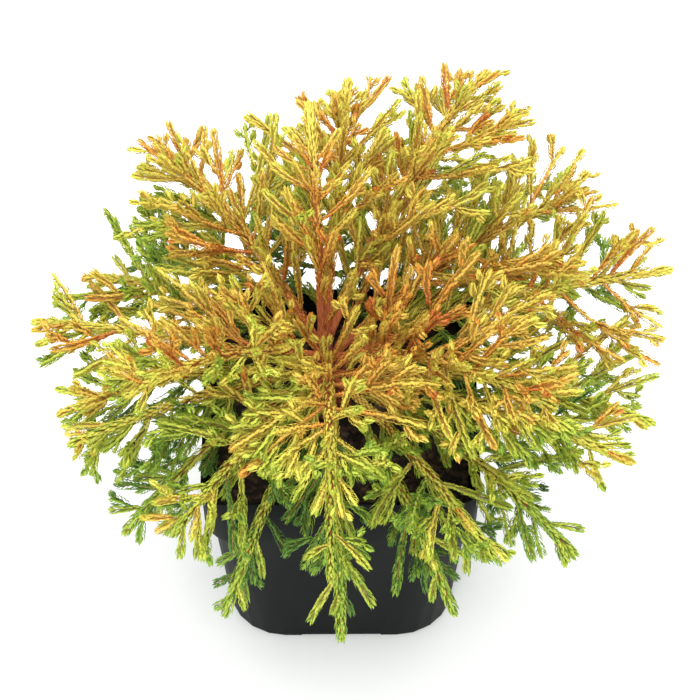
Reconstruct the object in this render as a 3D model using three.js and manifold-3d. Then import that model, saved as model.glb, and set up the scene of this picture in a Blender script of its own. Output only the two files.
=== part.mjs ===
// Dwarf arborvitae in a square nursery pot: pot, soil, short stem, boughs and masses of foliage.
// Millimetres, +Z up, front towards -Y. The origin is the middle of the pot's flat underside.
import * as THREE from "three";
import { mergeVertices } from "three/addons/utils/BufferGeometryUtils.js";
import Module from "manifold-3d";

const wasm = await Module();
wasm.setup();

// Driving dimensions of the pot
const RIM_WIDTH = 130;
const BASE_WIDTH = 110;
const POT_HEIGHT = 125;
const BAND_HEIGHT = 30; // the rim band that stands proud of the wall
const BAND_STEP = 2.3;
const BAND_TAPER = 0.7; // the band is this much narrower on each side at its foot than at the rim
const WALL = 1.4;
const RIM_CORNER = 11.5;
const BASE_CORNER = 28;
const FOOT_EDGE = 2.5; // rounding where the wall turns under into the base
const CHANNEL_WIDTH = 39; // one drain channel under the middle of each side
const CHANNEL_DEPTH = 2.7;
const CHANNEL_LENGTH = 20;
const DRAIN_RADIUS = 4;
const DRAIN_HOLES = 8;
const CORNER_STEPS = 5;
const LOWER_RING = 44; // the height up to which the wall's corners open most

// Driving dimensions of the soil and the stem
const SOIL_BELOW_RIM = 15;
const SOIL_UNEVENNESS = 1.6;
const SOIL_LEVEL = POT_HEIGHT - SOIL_BELOW_RIM;
const SOIL_RINGS = [1, 0.75, 0.5, 0.26, 0.13]; // rings of corners in its surface, as shares of its width
const STEM_FOOT = new THREE.Vector3(-3, 4, SOIL_LEVEL);
const STEM_FORK = new THREE.Vector3(-8, 10, SOIL_LEVEL + 42);
const STEM_RADIUS = 5.2;
const STEM_TIP_RADIUS = 3.6;
const STEM_SIDES = 10;
const STEM_RINGS = [0, 0.08, 0.2, 0.45, 0.72, 1];
const FLARE_RADIUS = 9; // the roots' swelling at the soil
const FLARE_HEIGHT = 9;
const FLARE_LOBES = 3;
const FLARE_LOBE_DEPTH = 0.22;

// Driving dimensions of the crown: a low mound, wider than high, that overhangs the pot on all sides
const CROWN_MIDDLE = new THREE.Vector3(7, 7, 164);
const CROWN_RADII = new THREE.Vector3(150, 138, 86);
const CROWN_SLACK = 0.03; // how far a spray may stand out of the mound past its own limb's tip
const CLEARANCE = 0.3; // between any two pieces
const BOUGHS_APART = 0.39; // between two boughs where they crowd at the stem
const RIM_CLEARANCE = 2; // between foliage and the pot
const UPWARD_LEAN = 0.6; // how far the flat of the foliage turns from the mound's outside to straight up

// Each tier of limbs: the way every limb points, in degrees from +X towards +Y, the distance of its tip
// from the pot's middle, the tip's height, and for the whole tier where the limbs leave the stem, how
// high they arch, how thick they are and from which share of their way on they are clothed
const TIERS = {
  lower: {
    azimuths: [352, 322, 295, 270, 244, 214, 186, 147, 97, 42],
    reaches: [148, 137, 122, 121, 121, 121, 133, 140, 131, 137],
    heights: [128, 111, 104, 98, 101, 108, 128, 121, 116, 118],
    leavesStemAt: [6, 18],
    arch: 38,
    radius: 1.8,
    clothedFrom: 0.42,
  },
  middle: {
    azimuths: [16, 337, 302, 268, 232, 200, 168, 122, 68],
    reaches: [163, 144, 128, 121, 122, 132, 149, 138, 139],
    heights: [162, 146, 146, 146, 147, 146, 142, 156, 158],
    leavesStemAt: [20, 29],
    arch: 10,
    radius: 2,
    clothedFrom: 0.4,
  },
  upper: {
    azimuths: [33, 61, 88, 130, 208, 268, 328],
    reaches: [140, 146, 126, 137, 108, 104, 112],
    heights: [184, 211, 207, 187, 190, 190, 190],
    leavesStemAt: [31, 38],
    arch: 4,
    radius: 2.1,
    clothedFrom: 0.32,
  },
  leader: {
    azimuths: [100],
    reaches: [82],
    heights: [238],
    leavesStemAt: [42, 42],
    arch: 0,
    radius: 2.3,
    clothedFrom: 0.28,
  },
};
const BOUGH_SIDES = 5;
const LIMB_STEPS = 4; // straight lengths in a bough, and again in a mass's stem
const LINE_STEPS = 8; // straight lengths in the lines that distances are measured from
const BEND_AT = 0.42; // a limb arches at this share of the way to its tip
const STEEP_LEAVE_HIGHER = 0.7; // how far a limb's place on the stem follows its steepness, not its turn
const LIMB_TIP_SHARE = 0.74; // a bough's radius where it enters its mass, as a share of its first radius

// Driving dimensions of a mass: one stem, alternate twigs on it and toothed sprays on the twigs
const MASS_STEM_SIDES = 4;
const MASS_STEM_RADIUS = 1.4;
const MASS_STEM_TIP_RADIUS = 1;
const TWIGS_PER_MASS = 6;
const TWIGS_FROM = 0.04; // twigs stand along this stretch of the mass's stem
const TWIGS_TO = 0.9;
const TWIG_LENGTHS = [58, 70, 48]; // with the spray on its tip: of the first, the middle and the last twig
const TWIG_LENGTH_SPREAD = 0.24;
const TWIG_ANGLES = [80, 38]; // degrees from the stem, of the first and the last twig
const TWIG_ANGLE_SPREAD = 14;
const TWIG_ROLL = 48; // degrees out of the mass's own plane
const TWIG_TURN = 0.4; // how far a twig's spray turns from the twig's way towards the stem's
const TWIG_LIFT = 0.08; // and upwards
const TWIG_RADIUS = 0.95;
const TWIG_NECK_RADIUS = 0.85; // where the spray on its tip begins
const TIP_SPRAY_SIZES = [0.5, 1.05]; // range of the size of the spray on a twig's tip
const TIP_SPRAY_EXTRA = 0.15; // its size over the twig's share of the longest twig
const SHORTENINGS = [1, 0.84, 0.68, 0.54]; // a twig that doesn't fit is tried again at these shares
const NARROWINGS = [1, 0.6]; // and at these shares of its angle and roll
const SIDE_SPRAY_AT = [0.35, 0.6]; // range of its place between the twig's foot and neck
const SIDE_SPRAY_SIZES = [0.85, 1.1];
const SIDE_SPRAY_TRIES = [1, 0.75]; // one that doesn't fit is tried again at these shares
const SIDE_SPRAY_ANGLE = 44;
const SIDE_SPRAY_SINK = 1.2; // how far a side spray's root runs back past its twig's middle
const SPRAY_THICKNESS = 2.9;
const STEM_SPRAY_ANGLE = 48; // of the sprays that rise from the stem between two twigs
const SPRAYS_APART = 5.4; // least distance between the probes of two sprays of one mass
const FINEST_EDGE = 0.05; // smaller slivers, where sprays cross their twigs, are smoothed out

// Each kind of spray is a thin toothed blade. Its lobes are given from the right of its root round its
// tip to the left, as shares of its length and width, and it is thickest along its ridge.
const LONG_SPRAY = {
  length: 42,
  width: 25,
  lobes: [
    [0.5, -0.46],
    [0.44, -0.12],
    [0.84, -0.42],
    [0.78, -0.1],
    [1, 0],
    [0.64, 0.11],
    [0.7, 0.5],
    [0.3, 0.11],
    [0.36, 0.42],
  ],
  ridge: [0.26, 0.58],
};
const SHORT_SPRAY = {
  length: 31,
  width: 19,
  lobes: [
    [0.5, -0.5],
    [0.6, -0.17],
    [1, 0],
    [0.7, 0.17],
    [0.74, 0.5],
  ],
  ridge: [0.45],
};
const SPRAY_WAIST = 0.485; // where the edge goes over from the first ridge corner to the second

// A seeded stream of numbers from 0 to 1
function numberStream(seed) {
  let state = seed >>> 0;
  return () => {
    state = (state + 0x6d2b79f5) >>> 0;
    let mixed = Math.imul(state ^ (state >>> 15), state | 1);
    mixed ^= mixed + Math.imul(mixed ^ (mixed >>> 7), mixed | 61);
    return ((mixed ^ (mixed >>> 14)) >>> 0) / 4294967296;
  };
}

const radians = THREE.MathUtils.degToRad;
const lerp = THREE.MathUtils.lerp;
const UP = new THREE.Vector3(0, 0, 1);

// Geometry helpers

// A closed body through rings of equal length, each counter-clockwise about the way from first to last
function loft(rings) {
  const count = rings[0].length;
  const points = rings.flat().flatMap((p) => [p.x, p.y, p.z]);
  const faces = [];
  for (let r = 0; r + 1 < rings.length; r++) {
    for (let i = 0; i < count; i++) {
      const a = r * count + i;
      const b = r * count + ((i + 1) % count);
      faces.push(a, b, b + count, a, b + count, a + count);
    }
  }
  const last = (rings.length - 1) * count;
  for (let i = 1; i + 1 < count; i++) {
    faces.push(0, i + 1, i);
    faces.push(last, last + i, last + i + 1);
  }
  return meshGeometry(points, faces);
}

function meshGeometry(points, faces) {
  const geometry = new THREE.BufferGeometry();
  geometry.setAttribute("position", new THREE.Float32BufferAttribute(points, 3));
  geometry.setIndex(faces);
  return geometry;
}

function toSolid(geometry) {
  const bare = geometry.clone();
  bare.deleteAttribute("normal");
  bare.deleteAttribute("uv");
  const merged = mergeVertices(bare, 1e-4);
  return new wasm.Manifold(
    new wasm.Mesh({
      numProp: 3,
      vertProperties: new Float32Array(merged.attributes.position.array),
      triVerts: new Uint32Array(merged.index.array),
    }),
  );
}

function toGeometry(solid) {
  const mesh = solid.getMesh();
  return meshGeometry(Array.from(mesh.vertProperties), Array.from(mesh.triVerts));
}

// The largest of the bodies in a solid, so that a loose scrap is dropped
function mainBody(solid) {
  const bodies = solid.decompose();
  return bodies.reduce((best, body) => (body.volume() > best.volume() ? body : best));
}

// Each corner's neighbours along the edges of a list of faces
function neighboursOf(faces) {
  const neighbours = new Map();
  for (const face of faces) {
    for (const corner of face) {
      const known = neighbours.get(corner) ?? new Set();
      face.filter((other) => other !== corner).forEach((other) => known.add(other));
      neighbours.set(corner, known);
    }
  }
  return neighbours;
}

// The short edges that can be drawn together at once, none next to another: each one's end with its start
function shortEdges(points, faces) {
  const neighbours = neighboursOf(faces);
  const taken = new Set();
  const drawn = new Map();
  for (const [a, b, c] of faces) {
    for (const [start, end] of [[a, b], [b, c], [c, a]]) {
      const near = [start, end, ...neighbours.get(start), ...neighbours.get(end)];
      const shared = [...neighbours.get(start)].filter((corner) => neighbours.get(end).has(corner));
      const short = points[start].distanceTo(points[end]) < FINEST_EDGE;
      if (short && shared.length === 2 && !near.some((corner) => taken.has(corner))) {
        drawn.set(end, start);
        near.forEach((corner) => taken.add(corner));
      }
    }
  }
  return drawn;
}

// The solid with its slivers gone: short edges are drawn together until none is left that can be
function withoutSlivers(solid) {
  const mesh = solid.getMesh();
  const points = Array.from({ length: mesh.numVert }, (_, i) => new THREE.Vector3(...mesh.position(i)));
  let faces = Array.from({ length: mesh.numTri }, (_, i) => Array.from(mesh.verts(i)));
  let drawn = shortEdges(points, faces);
  while (drawn.size > 0) {
    faces = faces.map((face) => face.map((corner) => drawn.get(corner) ?? corner));
    faces = faces.filter(([a, b, c]) => a !== b && b !== c && c !== a);
    drawn = shortEdges(points, faces);
  }
  return toSolid(meshGeometry(points.flatMap((p) => [p.x, p.y, p.z]), faces.flat()));
}

function namedMesh(name, geometry, material) {
  const mesh = new THREE.Mesh(geometry, material);
  mesh.name = name;
  geometry.computeVertexNormals();
  return mesh;
}

// A tapering limb along a curve, cut square to the curve at both ends
function limbGeometry(curve, from, to, radiusFrom, radiusTo, sides) {
  const rings = [];
  for (let s = 0; s <= LIMB_STEPS; s++) {
    const t = lerp(from, to, s / LIMB_STEPS);
    const { side, up } = frameAt(curve, t);
    const radius = lerp(radiusFrom, radiusTo, s / LIMB_STEPS);
    rings.push(ringAround(curve.getPoint(t), side, up, radius, sides));
  }
  return loft(rings);
}

// A ring of points that runs from axis a towards axis b
function ringAround(middle, a, b, radius, sides) {
  const ring = [];
  for (let i = 0; i < sides; i++) {
    const angle = (2 * Math.PI * i) / sides;
    const point = middle.clone();
    point.addScaledVector(a, radius * Math.cos(angle));
    point.addScaledVector(b, radius * Math.sin(angle));
    ring.push(point);
  }
  return ring;
}

// The mound's outward direction at a point
function outwardAt(point) {
  const d = point.clone().sub(CROWN_MIDDLE);
  d.set(d.x / CROWN_RADII.x ** 2, d.y / CROWN_RADII.y ** 2, d.z / CROWN_RADII.z ** 2);
  return d.normalize();
}

// Directions at a point of something that runs along a given way: to the side, and up and out of the mound
function directionsAt(point, along) {
  const outward = outwardAt(point).addScaledVector(UP, UPWARD_LEAN);
  const side = new THREE.Vector3().crossVectors(outward, along).normalize();
  const up = new THREE.Vector3().crossVectors(along, side).normalize();
  return { along, side, up };
}

function frameAt(curve, t) {
  return directionsAt(curve.getPoint(t), curve.getTangent(t));
}

// How far out in the mound a point lies: 0 in the middle, 1 on its surface
function moundShare(point) {
  const d = point.clone().sub(CROWN_MIDDLE);
  return Math.hypot(d.x / CROWN_RADII.x, d.y / CROWN_RADII.y, d.z / CROWN_RADII.z);
}

function distanceToPolyline(point, polyline) {
  const segment = new THREE.Line3();
  const nearest = new THREE.Vector3();
  let best = Infinity;
  for (let i = 0; i + 1 < polyline.length; i++) {
    segment.set(polyline[i], polyline[i + 1]);
    segment.closestPointToPoint(point, true, nearest);
    best = Math.min(best, nearest.distanceTo(point));
  }
  return best;
}

// Pot

// A square with round corners, counter-clockwise seen from above
function roundedSquare(halfWidth, corner, z, middleX = 0, middleY = 0) {
  const ring = [];
  for (let quarter = 0; quarter < 4; quarter++) {
    const turn = (quarter * Math.PI) / 2;
    for (let s = 0; s <= CORNER_STEPS; s++) {
      const angle = (s / CORNER_STEPS) * (Math.PI / 2);
      const x = halfWidth - corner + corner * Math.cos(angle);
      const y = halfWidth - corner + corner * Math.sin(angle);
      const px = middleX + x * Math.cos(turn) - y * Math.sin(turn);
      const py = middleY + x * Math.sin(turn) + y * Math.cos(turn);
      ring.push(new THREE.Vector3(px, py, z));
    }
  }
  return ring;
}

// Half width and corner radius of the pot's outer wall at a height, without the band
function wallAt(z) {
  const share = z / POT_HEIGHT;
  const top = RIM_WIDTH / 2 - BAND_STEP;
  return {
    halfWidth: lerp(BASE_WIDTH / 2, top, share),
    corner: lerp(BASE_CORNER, RIM_CORNER, share ** 0.8),
  };
}

function wallRing(z, inwards) {
  const { halfWidth, corner } = wallAt(z);
  return roundedSquare(halfWidth - inwards, corner - inwards, z);
}

function bandRing(z, inwards) {
  const down = (POT_HEIGHT - z) / BAND_HEIGHT;
  const halfWidth = RIM_WIDTH / 2 - down * BAND_TAPER;
  return roundedSquare(halfWidth - inwards, wallAt(z).corner - inwards, z);
}

function potShell() {
  const bandFoot = POT_HEIGHT - BAND_HEIGHT;
  const stepInside = bandFoot + WALL;
  return loft([
    wallRing(0, FOOT_EDGE),
    wallRing(FOOT_EDGE * 0.3, FOOT_EDGE * 0.3),
    wallRing(FOOT_EDGE, 0),
    wallRing(LOWER_RING, 0),
    wallRing(bandFoot, 0),
    bandRing(bandFoot, 0),
    bandRing(POT_HEIGHT, 0),
    bandRing(POT_HEIGHT, WALL),
    bandRing(stepInside, WALL),
    wallRing(stepInside, WALL),
    wallRing(LOWER_RING, WALL),
    wallRing(FOOT_EDGE, WALL),
    wallRing(WALL, WALL + FOOT_EDGE * 0.5),
  ]);
}

// Four blocks, one under the middle of each side, that run in from outside the wall
function channelBlocks(width, length, bottom, top, outside) {
  const reach = BASE_WIDTH / 2 + outside;
  const blocks = [];
  for (let quarter = 0; quarter < 4; quarter++) {
    const block = new THREE.BoxGeometry(width, length + outside, top - bottom);
    block.translate(0, -reach + (length + outside) / 2, (bottom + top) / 2);
    block.rotateZ((quarter * Math.PI) / 2);
    blocks.push(toSolid(block));
  }
  return blocks;
}

// Drain holes: one in the inner end of each channel and one near each corner of the base
function drainHoles() {
  const holes = [];
  const fromMiddle = BASE_WIDTH / 2 - CHANNEL_LENGTH + DRAIN_RADIUS;
  for (let k = 0; k < DRAIN_HOLES; k++) {
    const hole = new THREE.CylinderGeometry(DRAIN_RADIUS, DRAIN_RADIUS, 20, 12);
    hole.rotateX(Math.PI / 2);
    hole.translate(fromMiddle, 0, 0);
    hole.rotateZ((k * 2 * Math.PI) / DRAIN_HOLES);
    holes.push(toSolid(hole));
  }
  return holes;
}

function potGeometry() {
  const roofTop = CHANNEL_DEPTH + WALL;
  const roof = channelBlocks(CHANNEL_WIDTH + 2 * WALL, CHANNEL_LENGTH + WALL, WALL / 2, roofTop, 0);
  const hollow = channelBlocks(CHANNEL_WIDTH, CHANNEL_LENGTH, -1, CHANNEL_DEPTH, 5);
  const inside = toSolid(loft([wallRing(0, WALL / 2), wallRing(POT_HEIGHT, WALL / 2)]));
  let pot = toSolid(potShell());
  for (const block of roof) {
    pot = pot.add(block.intersect(inside));
  }
  for (const cut of [...hollow, ...drainHoles()]) {
    pot = pot.subtract(cut);
  }
  return toGeometry(mainBody(pot));
}

// Soil

// The soil's surface: level round the stem, gently uneven elsewhere
function soilHeight(x, y) {
  const away = Math.hypot(x - STEM_FOOT.x, y - STEM_FOOT.y);
  const uneven = THREE.MathUtils.smoothstep(away, FLARE_RADIUS + 2, FLARE_RADIUS + 22);
  const longWave = Math.sin(x / 9 + 1.3) * Math.cos(y / 11 - 0.4);
  const shortWave = Math.sin(x / 5 - y / 6) / 2;
  return SOIL_LEVEL - (uneven * SOIL_UNEVENNESS * (1 + longWave + shortWave)) / 2;
}

function soilGeometry() {
  const clear = WALL + CLEARANCE;
  const floor = CHANNEL_DEPTH + WALL + CLEARANCE;
  const bandFoot = POT_HEIGHT - BAND_HEIGHT;
  const rings = [wallRing(floor, clear), wallRing(LOWER_RING, clear), wallRing(bandFoot, clear)];
  for (const share of SOIL_RINGS) {
    const { halfWidth, corner } = wallAt(SOIL_LEVEL);
    const size = (halfWidth - clear) * share;
    const round = lerp(size, corner - clear, share);
    const x = STEM_FOOT.x * (1 - share);
    const y = STEM_FOOT.y * (1 - share);
    const ring = roundedSquare(size, Math.min(round, size * 0.98), 0, x, y);
    for (const point of ring) {
      point.z = soilHeight(point.x, point.y);
    }
    rings.push(ring);
  }
  return loft(rings);
}

// Stem

const stemCurve = new THREE.QuadraticBezierCurve3(
  STEM_FOOT,
  new THREE.Vector3(STEM_FOOT.x - 0.5, STEM_FOOT.y + 1, lerp(STEM_FOOT.z, STEM_FORK.z, 0.5)),
  STEM_FORK,
);

// The stem is cut flat at the soil and, with jacket over 0, grows by that much all round
function stemGeometry(jacket) {
  const rings = [];
  for (const share of STEM_RINGS) {
    const middle = stemCurve.getPoint(share);
    const height = middle.z - STEM_FOOT.z;
    const flare = Math.max(0, 1 - height / FLARE_HEIGHT) ** 2;
    const bare = lerp(STEM_RADIUS, STEM_TIP_RADIUS, share);
    const ring = [];
    for (let i = 0; i < STEM_SIDES; i++) {
      const angle = (2 * Math.PI * i) / STEM_SIDES;
      const lobe = 1 + FLARE_LOBE_DEPTH * Math.cos(FLARE_LOBES * angle);
      const radius = bare + flare * (FLARE_RADIUS - bare) * lobe + jacket;
      const x = middle.x + radius * Math.cos(angle);
      const y = middle.y + radius * Math.sin(angle);
      ring.push(new THREE.Vector3(x, y, middle.z));
    }
    rings.push(ring);
  }
  for (const point of rings[0]) {
    point.z += CLEARANCE - jacket;
  }
  for (const point of rings.at(-1)) {
    point.z += jacket;
  }
  return loft(rings);
}

// Limbs: each is a bough from the stem to its mass, and on from there the stem of the mass

function limbCurve(tier, index) {
  const azimuth = radians(tier.azimuths[index]);
  const reach = tier.reaches[index];
  const tip = new THREE.Vector3(reach * Math.cos(azimuth), reach * Math.sin(azimuth), tier.heights[index]);
  const lowest = Math.min(...tier.heights);
  const steepness = (tip.z - lowest) / Math.max(1, Math.max(...tier.heights) - lowest);
  const rise = lerp(index % 2, steepness, STEEP_LEAVE_HIGHER);
  const start = stemCurve.getPoint(lerp(...tier.leavesStemAt, rise) / (STEM_FORK.z - STEM_FOOT.z));
  const bend = start.clone().lerp(tip, BEND_AT);
  bend.z = Math.max(start.z, tip.z) + tier.arch;
  return new THREE.QuadraticBezierCurve3(start, bend, tip);
}

function makeLimbs() {
  const limbs = [];
  for (const [tierName, tier] of Object.entries(TIERS)) {
    for (let index = 0; index < tier.azimuths.length; index++) {
      const curve = limbCurve(tier, index);
      const length = curve.getLength();
      const name = tier.azimuths.length > 1 ? `${tierName}_${index + 1}` : tierName;
      limbs.push({
        name,
        curve,
        length,
        boughEnd: tier.clothedFrom,
        massStart: tier.clothedFrom + CLEARANCE / length,
        massEnd: 1 - (LONG_SPRAY.length - SIDE_SPRAY_SINK) / length,
        radius: tier.radius,
        tipRadius: tier.radius * LIMB_TIP_SHARE,
        reachShare: Math.max(1, moundShare(curve.getPoint(1))) + CROWN_SLACK,
        boughLine: curvePoints(curve, 0, tier.clothedFrom),
        massLine: curvePoints(curve, tier.clothedFrom, 1),
      });
    }
  }
  return limbs;
}

function curvePoints(curve, from, to) {
  return Array.from({ length: LINE_STEPS + 1 }, (_, i) => curve.getPoint(lerp(from, to, i / LINE_STEPS)));
}

const limbs = makeLimbs();

// A bough with, for a jacket over 0, that much more thickness
function boughBody(limb, jacket) {
  const radii = [limb.radius + jacket, limb.tipRadius + jacket];
  return toSolid(limbGeometry(limb.curve, 0, limb.boughEnd, ...radii, BOUGH_SIDES));
}

// Where boughs crowd at the stem, each is cut clear of the stem and of the boughs before it
function boughSolid(limb, jackets) {
  return mainBody(jackets.reduce((body, jacket) => body.subtract(jacket), boughBody(limb, 0)));
}

// Masses of foliage

// True where a small ball would come too near the pot or the soil in it
function nearPot(point, radius) {
  const clear = RIM_CLEARANCE + radius;
  const overPot = Math.max(Math.abs(point.x), Math.abs(point.y)) < RIM_WIDTH / 2 + clear;
  return overPot && point.z < POT_HEIGHT + clear;
}

// The same for a line of some thickness, as at a rim that its two ends are both clear of
function lineNearPot(from, to, radius) {
  const shares = Array.from({ length: LINE_STEPS + 1 }, (_, i) => i / LINE_STEPS);
  return shares.some((share) => nearPot(from.clone().lerp(to, share), radius));
}

// True where a small ball lies in the limb's own space: nearer to its own stem than to any other mass,
// clear of every bough and of the pot, and within the mound as far as the limb itself reaches
function inOwnSpace(limb, point, radius) {
  if (moundShare(point) > limb.reachShare || nearPot(point, radius)) {
    return false;
  }
  const own = distanceToPolyline(point, limb.massLine);
  for (const other of limbs) {
    if (other !== limb && distanceToPolyline(point, other.massLine) < own + 2 * radius + CLEARANCE) {
      return false;
    }
    if (distanceToPolyline(point, other.boughLine) < other.radius + radius + CLEARANCE) {
      return false;
    }
  }
  return true;
}

function sprayPoint(spray, u, v, w) {
  const point = spray.root.clone();
  point.addScaledVector(spray.along, u * spray.kind.length * spray.size);
  point.addScaledVector(spray.side, v * spray.kind.width * spray.size * spray.hand);
  point.addScaledVector(spray.up, w * SPRAY_THICKNESS);
  return point;
}

// A spray's edge, counter-clockwise seen from its upper face, each corner with its share of the length
function sprayEdge(spray) {
  const edge = spray.kind.lobes.map(([u, v]) => ({ point: sprayPoint(spray, u, v, 0), share: u }));
  return spray.hand < 0 ? edge.reverse() : edge;
}

// Faces from a closed rim of numbered corners up to the ridge, where each edge takes the nearer ridge corner
function ridgeFaces(rim, shareOf, ridge) {
  const ridgeOf = (i) => {
    const middle = (shareOf(rim[i]) + shareOf(rim[(i + 1) % rim.length])) / 2;
    return middle > SPRAY_WAIST ? ridge.at(-1) : ridge[0];
  };
  const faces = [];
  for (let i = 0; i < rim.length; i++) {
    const here = ridgeOf(i);
    const before = ridgeOf((i + rim.length - 1) % rim.length);
    faces.push(rim[i], rim[(i + 1) % rim.length], here);
    if (before !== here) {
      faces.push(rim[i], here, before);
    }
  }
  return faces;
}

// The blade of a spray on given root corners: those on both faces, and those on the lower face alone
function bladeGeometry(spray, rootPoints, faces, upperRoot, lowerRoot) {
  const edge = sprayEdge(spray);
  const first = rootPoints.length;
  const numbers = edge.map((_, i) => first + i);
  const ridges = spray.kind.ridge;
  const upper = ridges.map((_, i) => first + edge.length + i);
  const lower = upper.map((number) => number + ridges.length);
  const ridgePoints = [0.5, -0.5].flatMap((w) => ridges.map((u) => sprayPoint(spray, u, 0, w)));
  const corners = [...rootPoints, ...edge.map((corner) => corner.point), ...ridgePoints];
  const shareOf = (number) => (number < first ? 0 : edge[number - first].share);
  const upperRim = [...upperRoot.slice(0, 1), ...numbers, ...upperRoot.slice(1)];
  const lowerRim = [...upperRoot.slice(1), ...numbers.toReversed(), ...upperRoot.slice(0, 1), ...lowerRoot];
  const all = [...faces, ...ridgeFaces(upperRim, shareOf, upper), ...ridgeFaces(lowerRim, shareOf, lower)];
  return meshGeometry(corners.flatMap((p) => [p.x, p.y, p.z]), all);
}

// A side spray, which narrows to a point at its root
function sideSprayGeometry(spray) {
  return bladeGeometry(spray, [spray.root], [], [0], []);
}

// A three-sided twig with a spray on its tip, in one piece
function twigGeometry(twig) {
  const down = twig.spray.up.clone().negate();
  const foot = ringAround(twig.base, down, twig.spray.side, TWIG_RADIUS, 3);
  const neck = ringAround(twig.spray.root, down, twig.spray.side, TWIG_NECK_RADIUS, 3);
  const faces = [0, 2, 1];
  for (let i = 0; i < 3; i++) {
    const next = (i + 1) % 3;
    faces.push(i, next, next + 3, i, next + 3, i + 3);
  }
  const [bottom, left, right] = [3, 4, 5];
  return bladeGeometry(twig.spray, [...foot, ...neck], faces, [right, left], [bottom]);
}

// Places on a spray, as shares of its length and width, and how much room each needs
const SPRAY_PROBES = [
  [0.35, 0, 1.3],
  [0.6, 0.25, 1],
  [0.5, -0.28, 1],
  [0.72, 0.46, 0.6],
  [0.48, -0.44, 0.6],
  [0.82, -0.36, 0.6],
  [0.98, 0, 0.6],
];
const TWIG_PROBES = [0.3, 0.65, 1]; // places from a twig's foot to its neck

function probePoints(spray) {
  return SPRAY_PROBES.map(([u, v]) => sprayPoint(spray, u, v, 0));
}

// True where the spray lies in its limb's own space and apart from the mass's other sprays
function sprayFits(limb, spray, placed) {
  const probes = probePoints(spray);
  if (sprayEdge(spray).some((corner) => lineNearPot(spray.root, corner.point, 0))) {
    return false;
  }
  if (!probes.every((probe, i) => inOwnSpace(limb, probe, SPRAY_PROBES[i][2]))) {
    return false;
  }
  return placed.every((other) => probes.every((probe) => probe.distanceTo(other) > SPRAYS_APART));
}

// A spray that points a given way, with its flat face towards the mound's outside
function makeSpray(kind, root, direction, size, hand) {
  return { kind, root, size, hand, ...directionsAt(root, direction.clone().normalize()) };
}

// The way of a twig that leaves the stem at a place, to one side, turned out of the mass's plane by roll
function twigWay(limb, place, hand, angle, roll) {
  const { along, side, up } = frameAt(limb.curve, place);
  const sideways = side.multiplyScalar(hand * Math.cos(roll)).addScaledVector(up, Math.sin(roll));
  const start = along.clone().multiplyScalar(Math.cos(angle)).addScaledVector(sideways, Math.sin(angle));
  const end = start.clone().lerp(along, TWIG_TURN).addScaledVector(UP, TWIG_LIFT).normalize();
  return { base: limb.curve.getPoint(place), start, end };
}

function makeTwig(way, length, hand) {
  const share = length / Math.max(...TWIG_LENGTHS);
  const size = THREE.MathUtils.clamp(share + TIP_SPRAY_EXTRA, ...TIP_SPRAY_SIZES);
  const neck = way.base.clone().addScaledVector(way.start, length - LONG_SPRAY.length * size);
  return { base: way.base, spray: makeSpray(LONG_SPRAY, neck, way.end, size, hand) };
}

// A side spray between a twig's foot and its neck
function makeSideSpray(twig, share, hand, size) {
  const { along, side } = twig.spray;
  const angle = radians(SIDE_SPRAY_ANGLE);
  const direction = along.clone().multiplyScalar(Math.cos(angle));
  direction.addScaledVector(side, hand * Math.sin(angle));
  const root = twig.base.clone().lerp(twig.spray.root, share).addScaledVector(direction, -SIDE_SPRAY_SINK);
  return makeSpray(SHORT_SPRAY, root, direction, size, hand);
}

function twigFits(limb, twig, placed) {
  const probes = TWIG_PROBES.map((share) => twig.base.clone().lerp(twig.spray.root, share));
  const clear = probes.every((probe) => inOwnSpace(limb, probe, TWIG_RADIUS));
  const overRim = !lineNearPot(twig.base, twig.spray.root, TWIG_RADIUS);
  return clear && overRim && sprayFits(limb, twig.spray, placed);
}

function massStemGeometry(limb) {
  const { curve, massStart, massEnd } = limb;
  return limbGeometry(curve, massStart, massEnd, MASS_STEM_RADIUS, MASS_STEM_TIP_RADIUS, MASS_STEM_SIDES);
}

// A twig is tried on the drawn roll and on the opposite one, each time shorter until it fits
function fittingTwig(limb, place, hand, angle, roll, length, placed) {
  for (const share of SHORTENINGS) {
    for (const turn of [1, -1]) {
      for (const narrow of NARROWINGS) {
        const way = twigWay(limb, place, hand, angle * narrow, roll * turn * narrow);
        const twig = makeTwig(way, length * share, hand);
        if (twigFits(limb, twig, placed)) {
          return twig;
        }
      }
    }
  }
  return undefined;
}

// A spray that rises from the stem
function makeStemSpray(limb, place, hand, size) {
  const { along, up } = frameAt(limb.curve, place);
  const angle = radians(STEM_SPRAY_ANGLE);
  const direction = along.multiplyScalar(Math.cos(angle)).addScaledVector(up, Math.sin(angle));
  const root = limb.curve.getPoint(place).addScaledVector(direction, -SIDE_SPRAY_SINK);
  return makeSpray(SHORT_SPRAY, root, direction, size, hand);
}

// A twig's length at a share of the way along the mass's stem
function usualLength(share) {
  const [first, middle, last] = TWIG_LENGTHS;
  return share < 0.5 ? lerp(first, middle, share * 2) : lerp(middle, last, share * 2 - 1);
}

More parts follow.
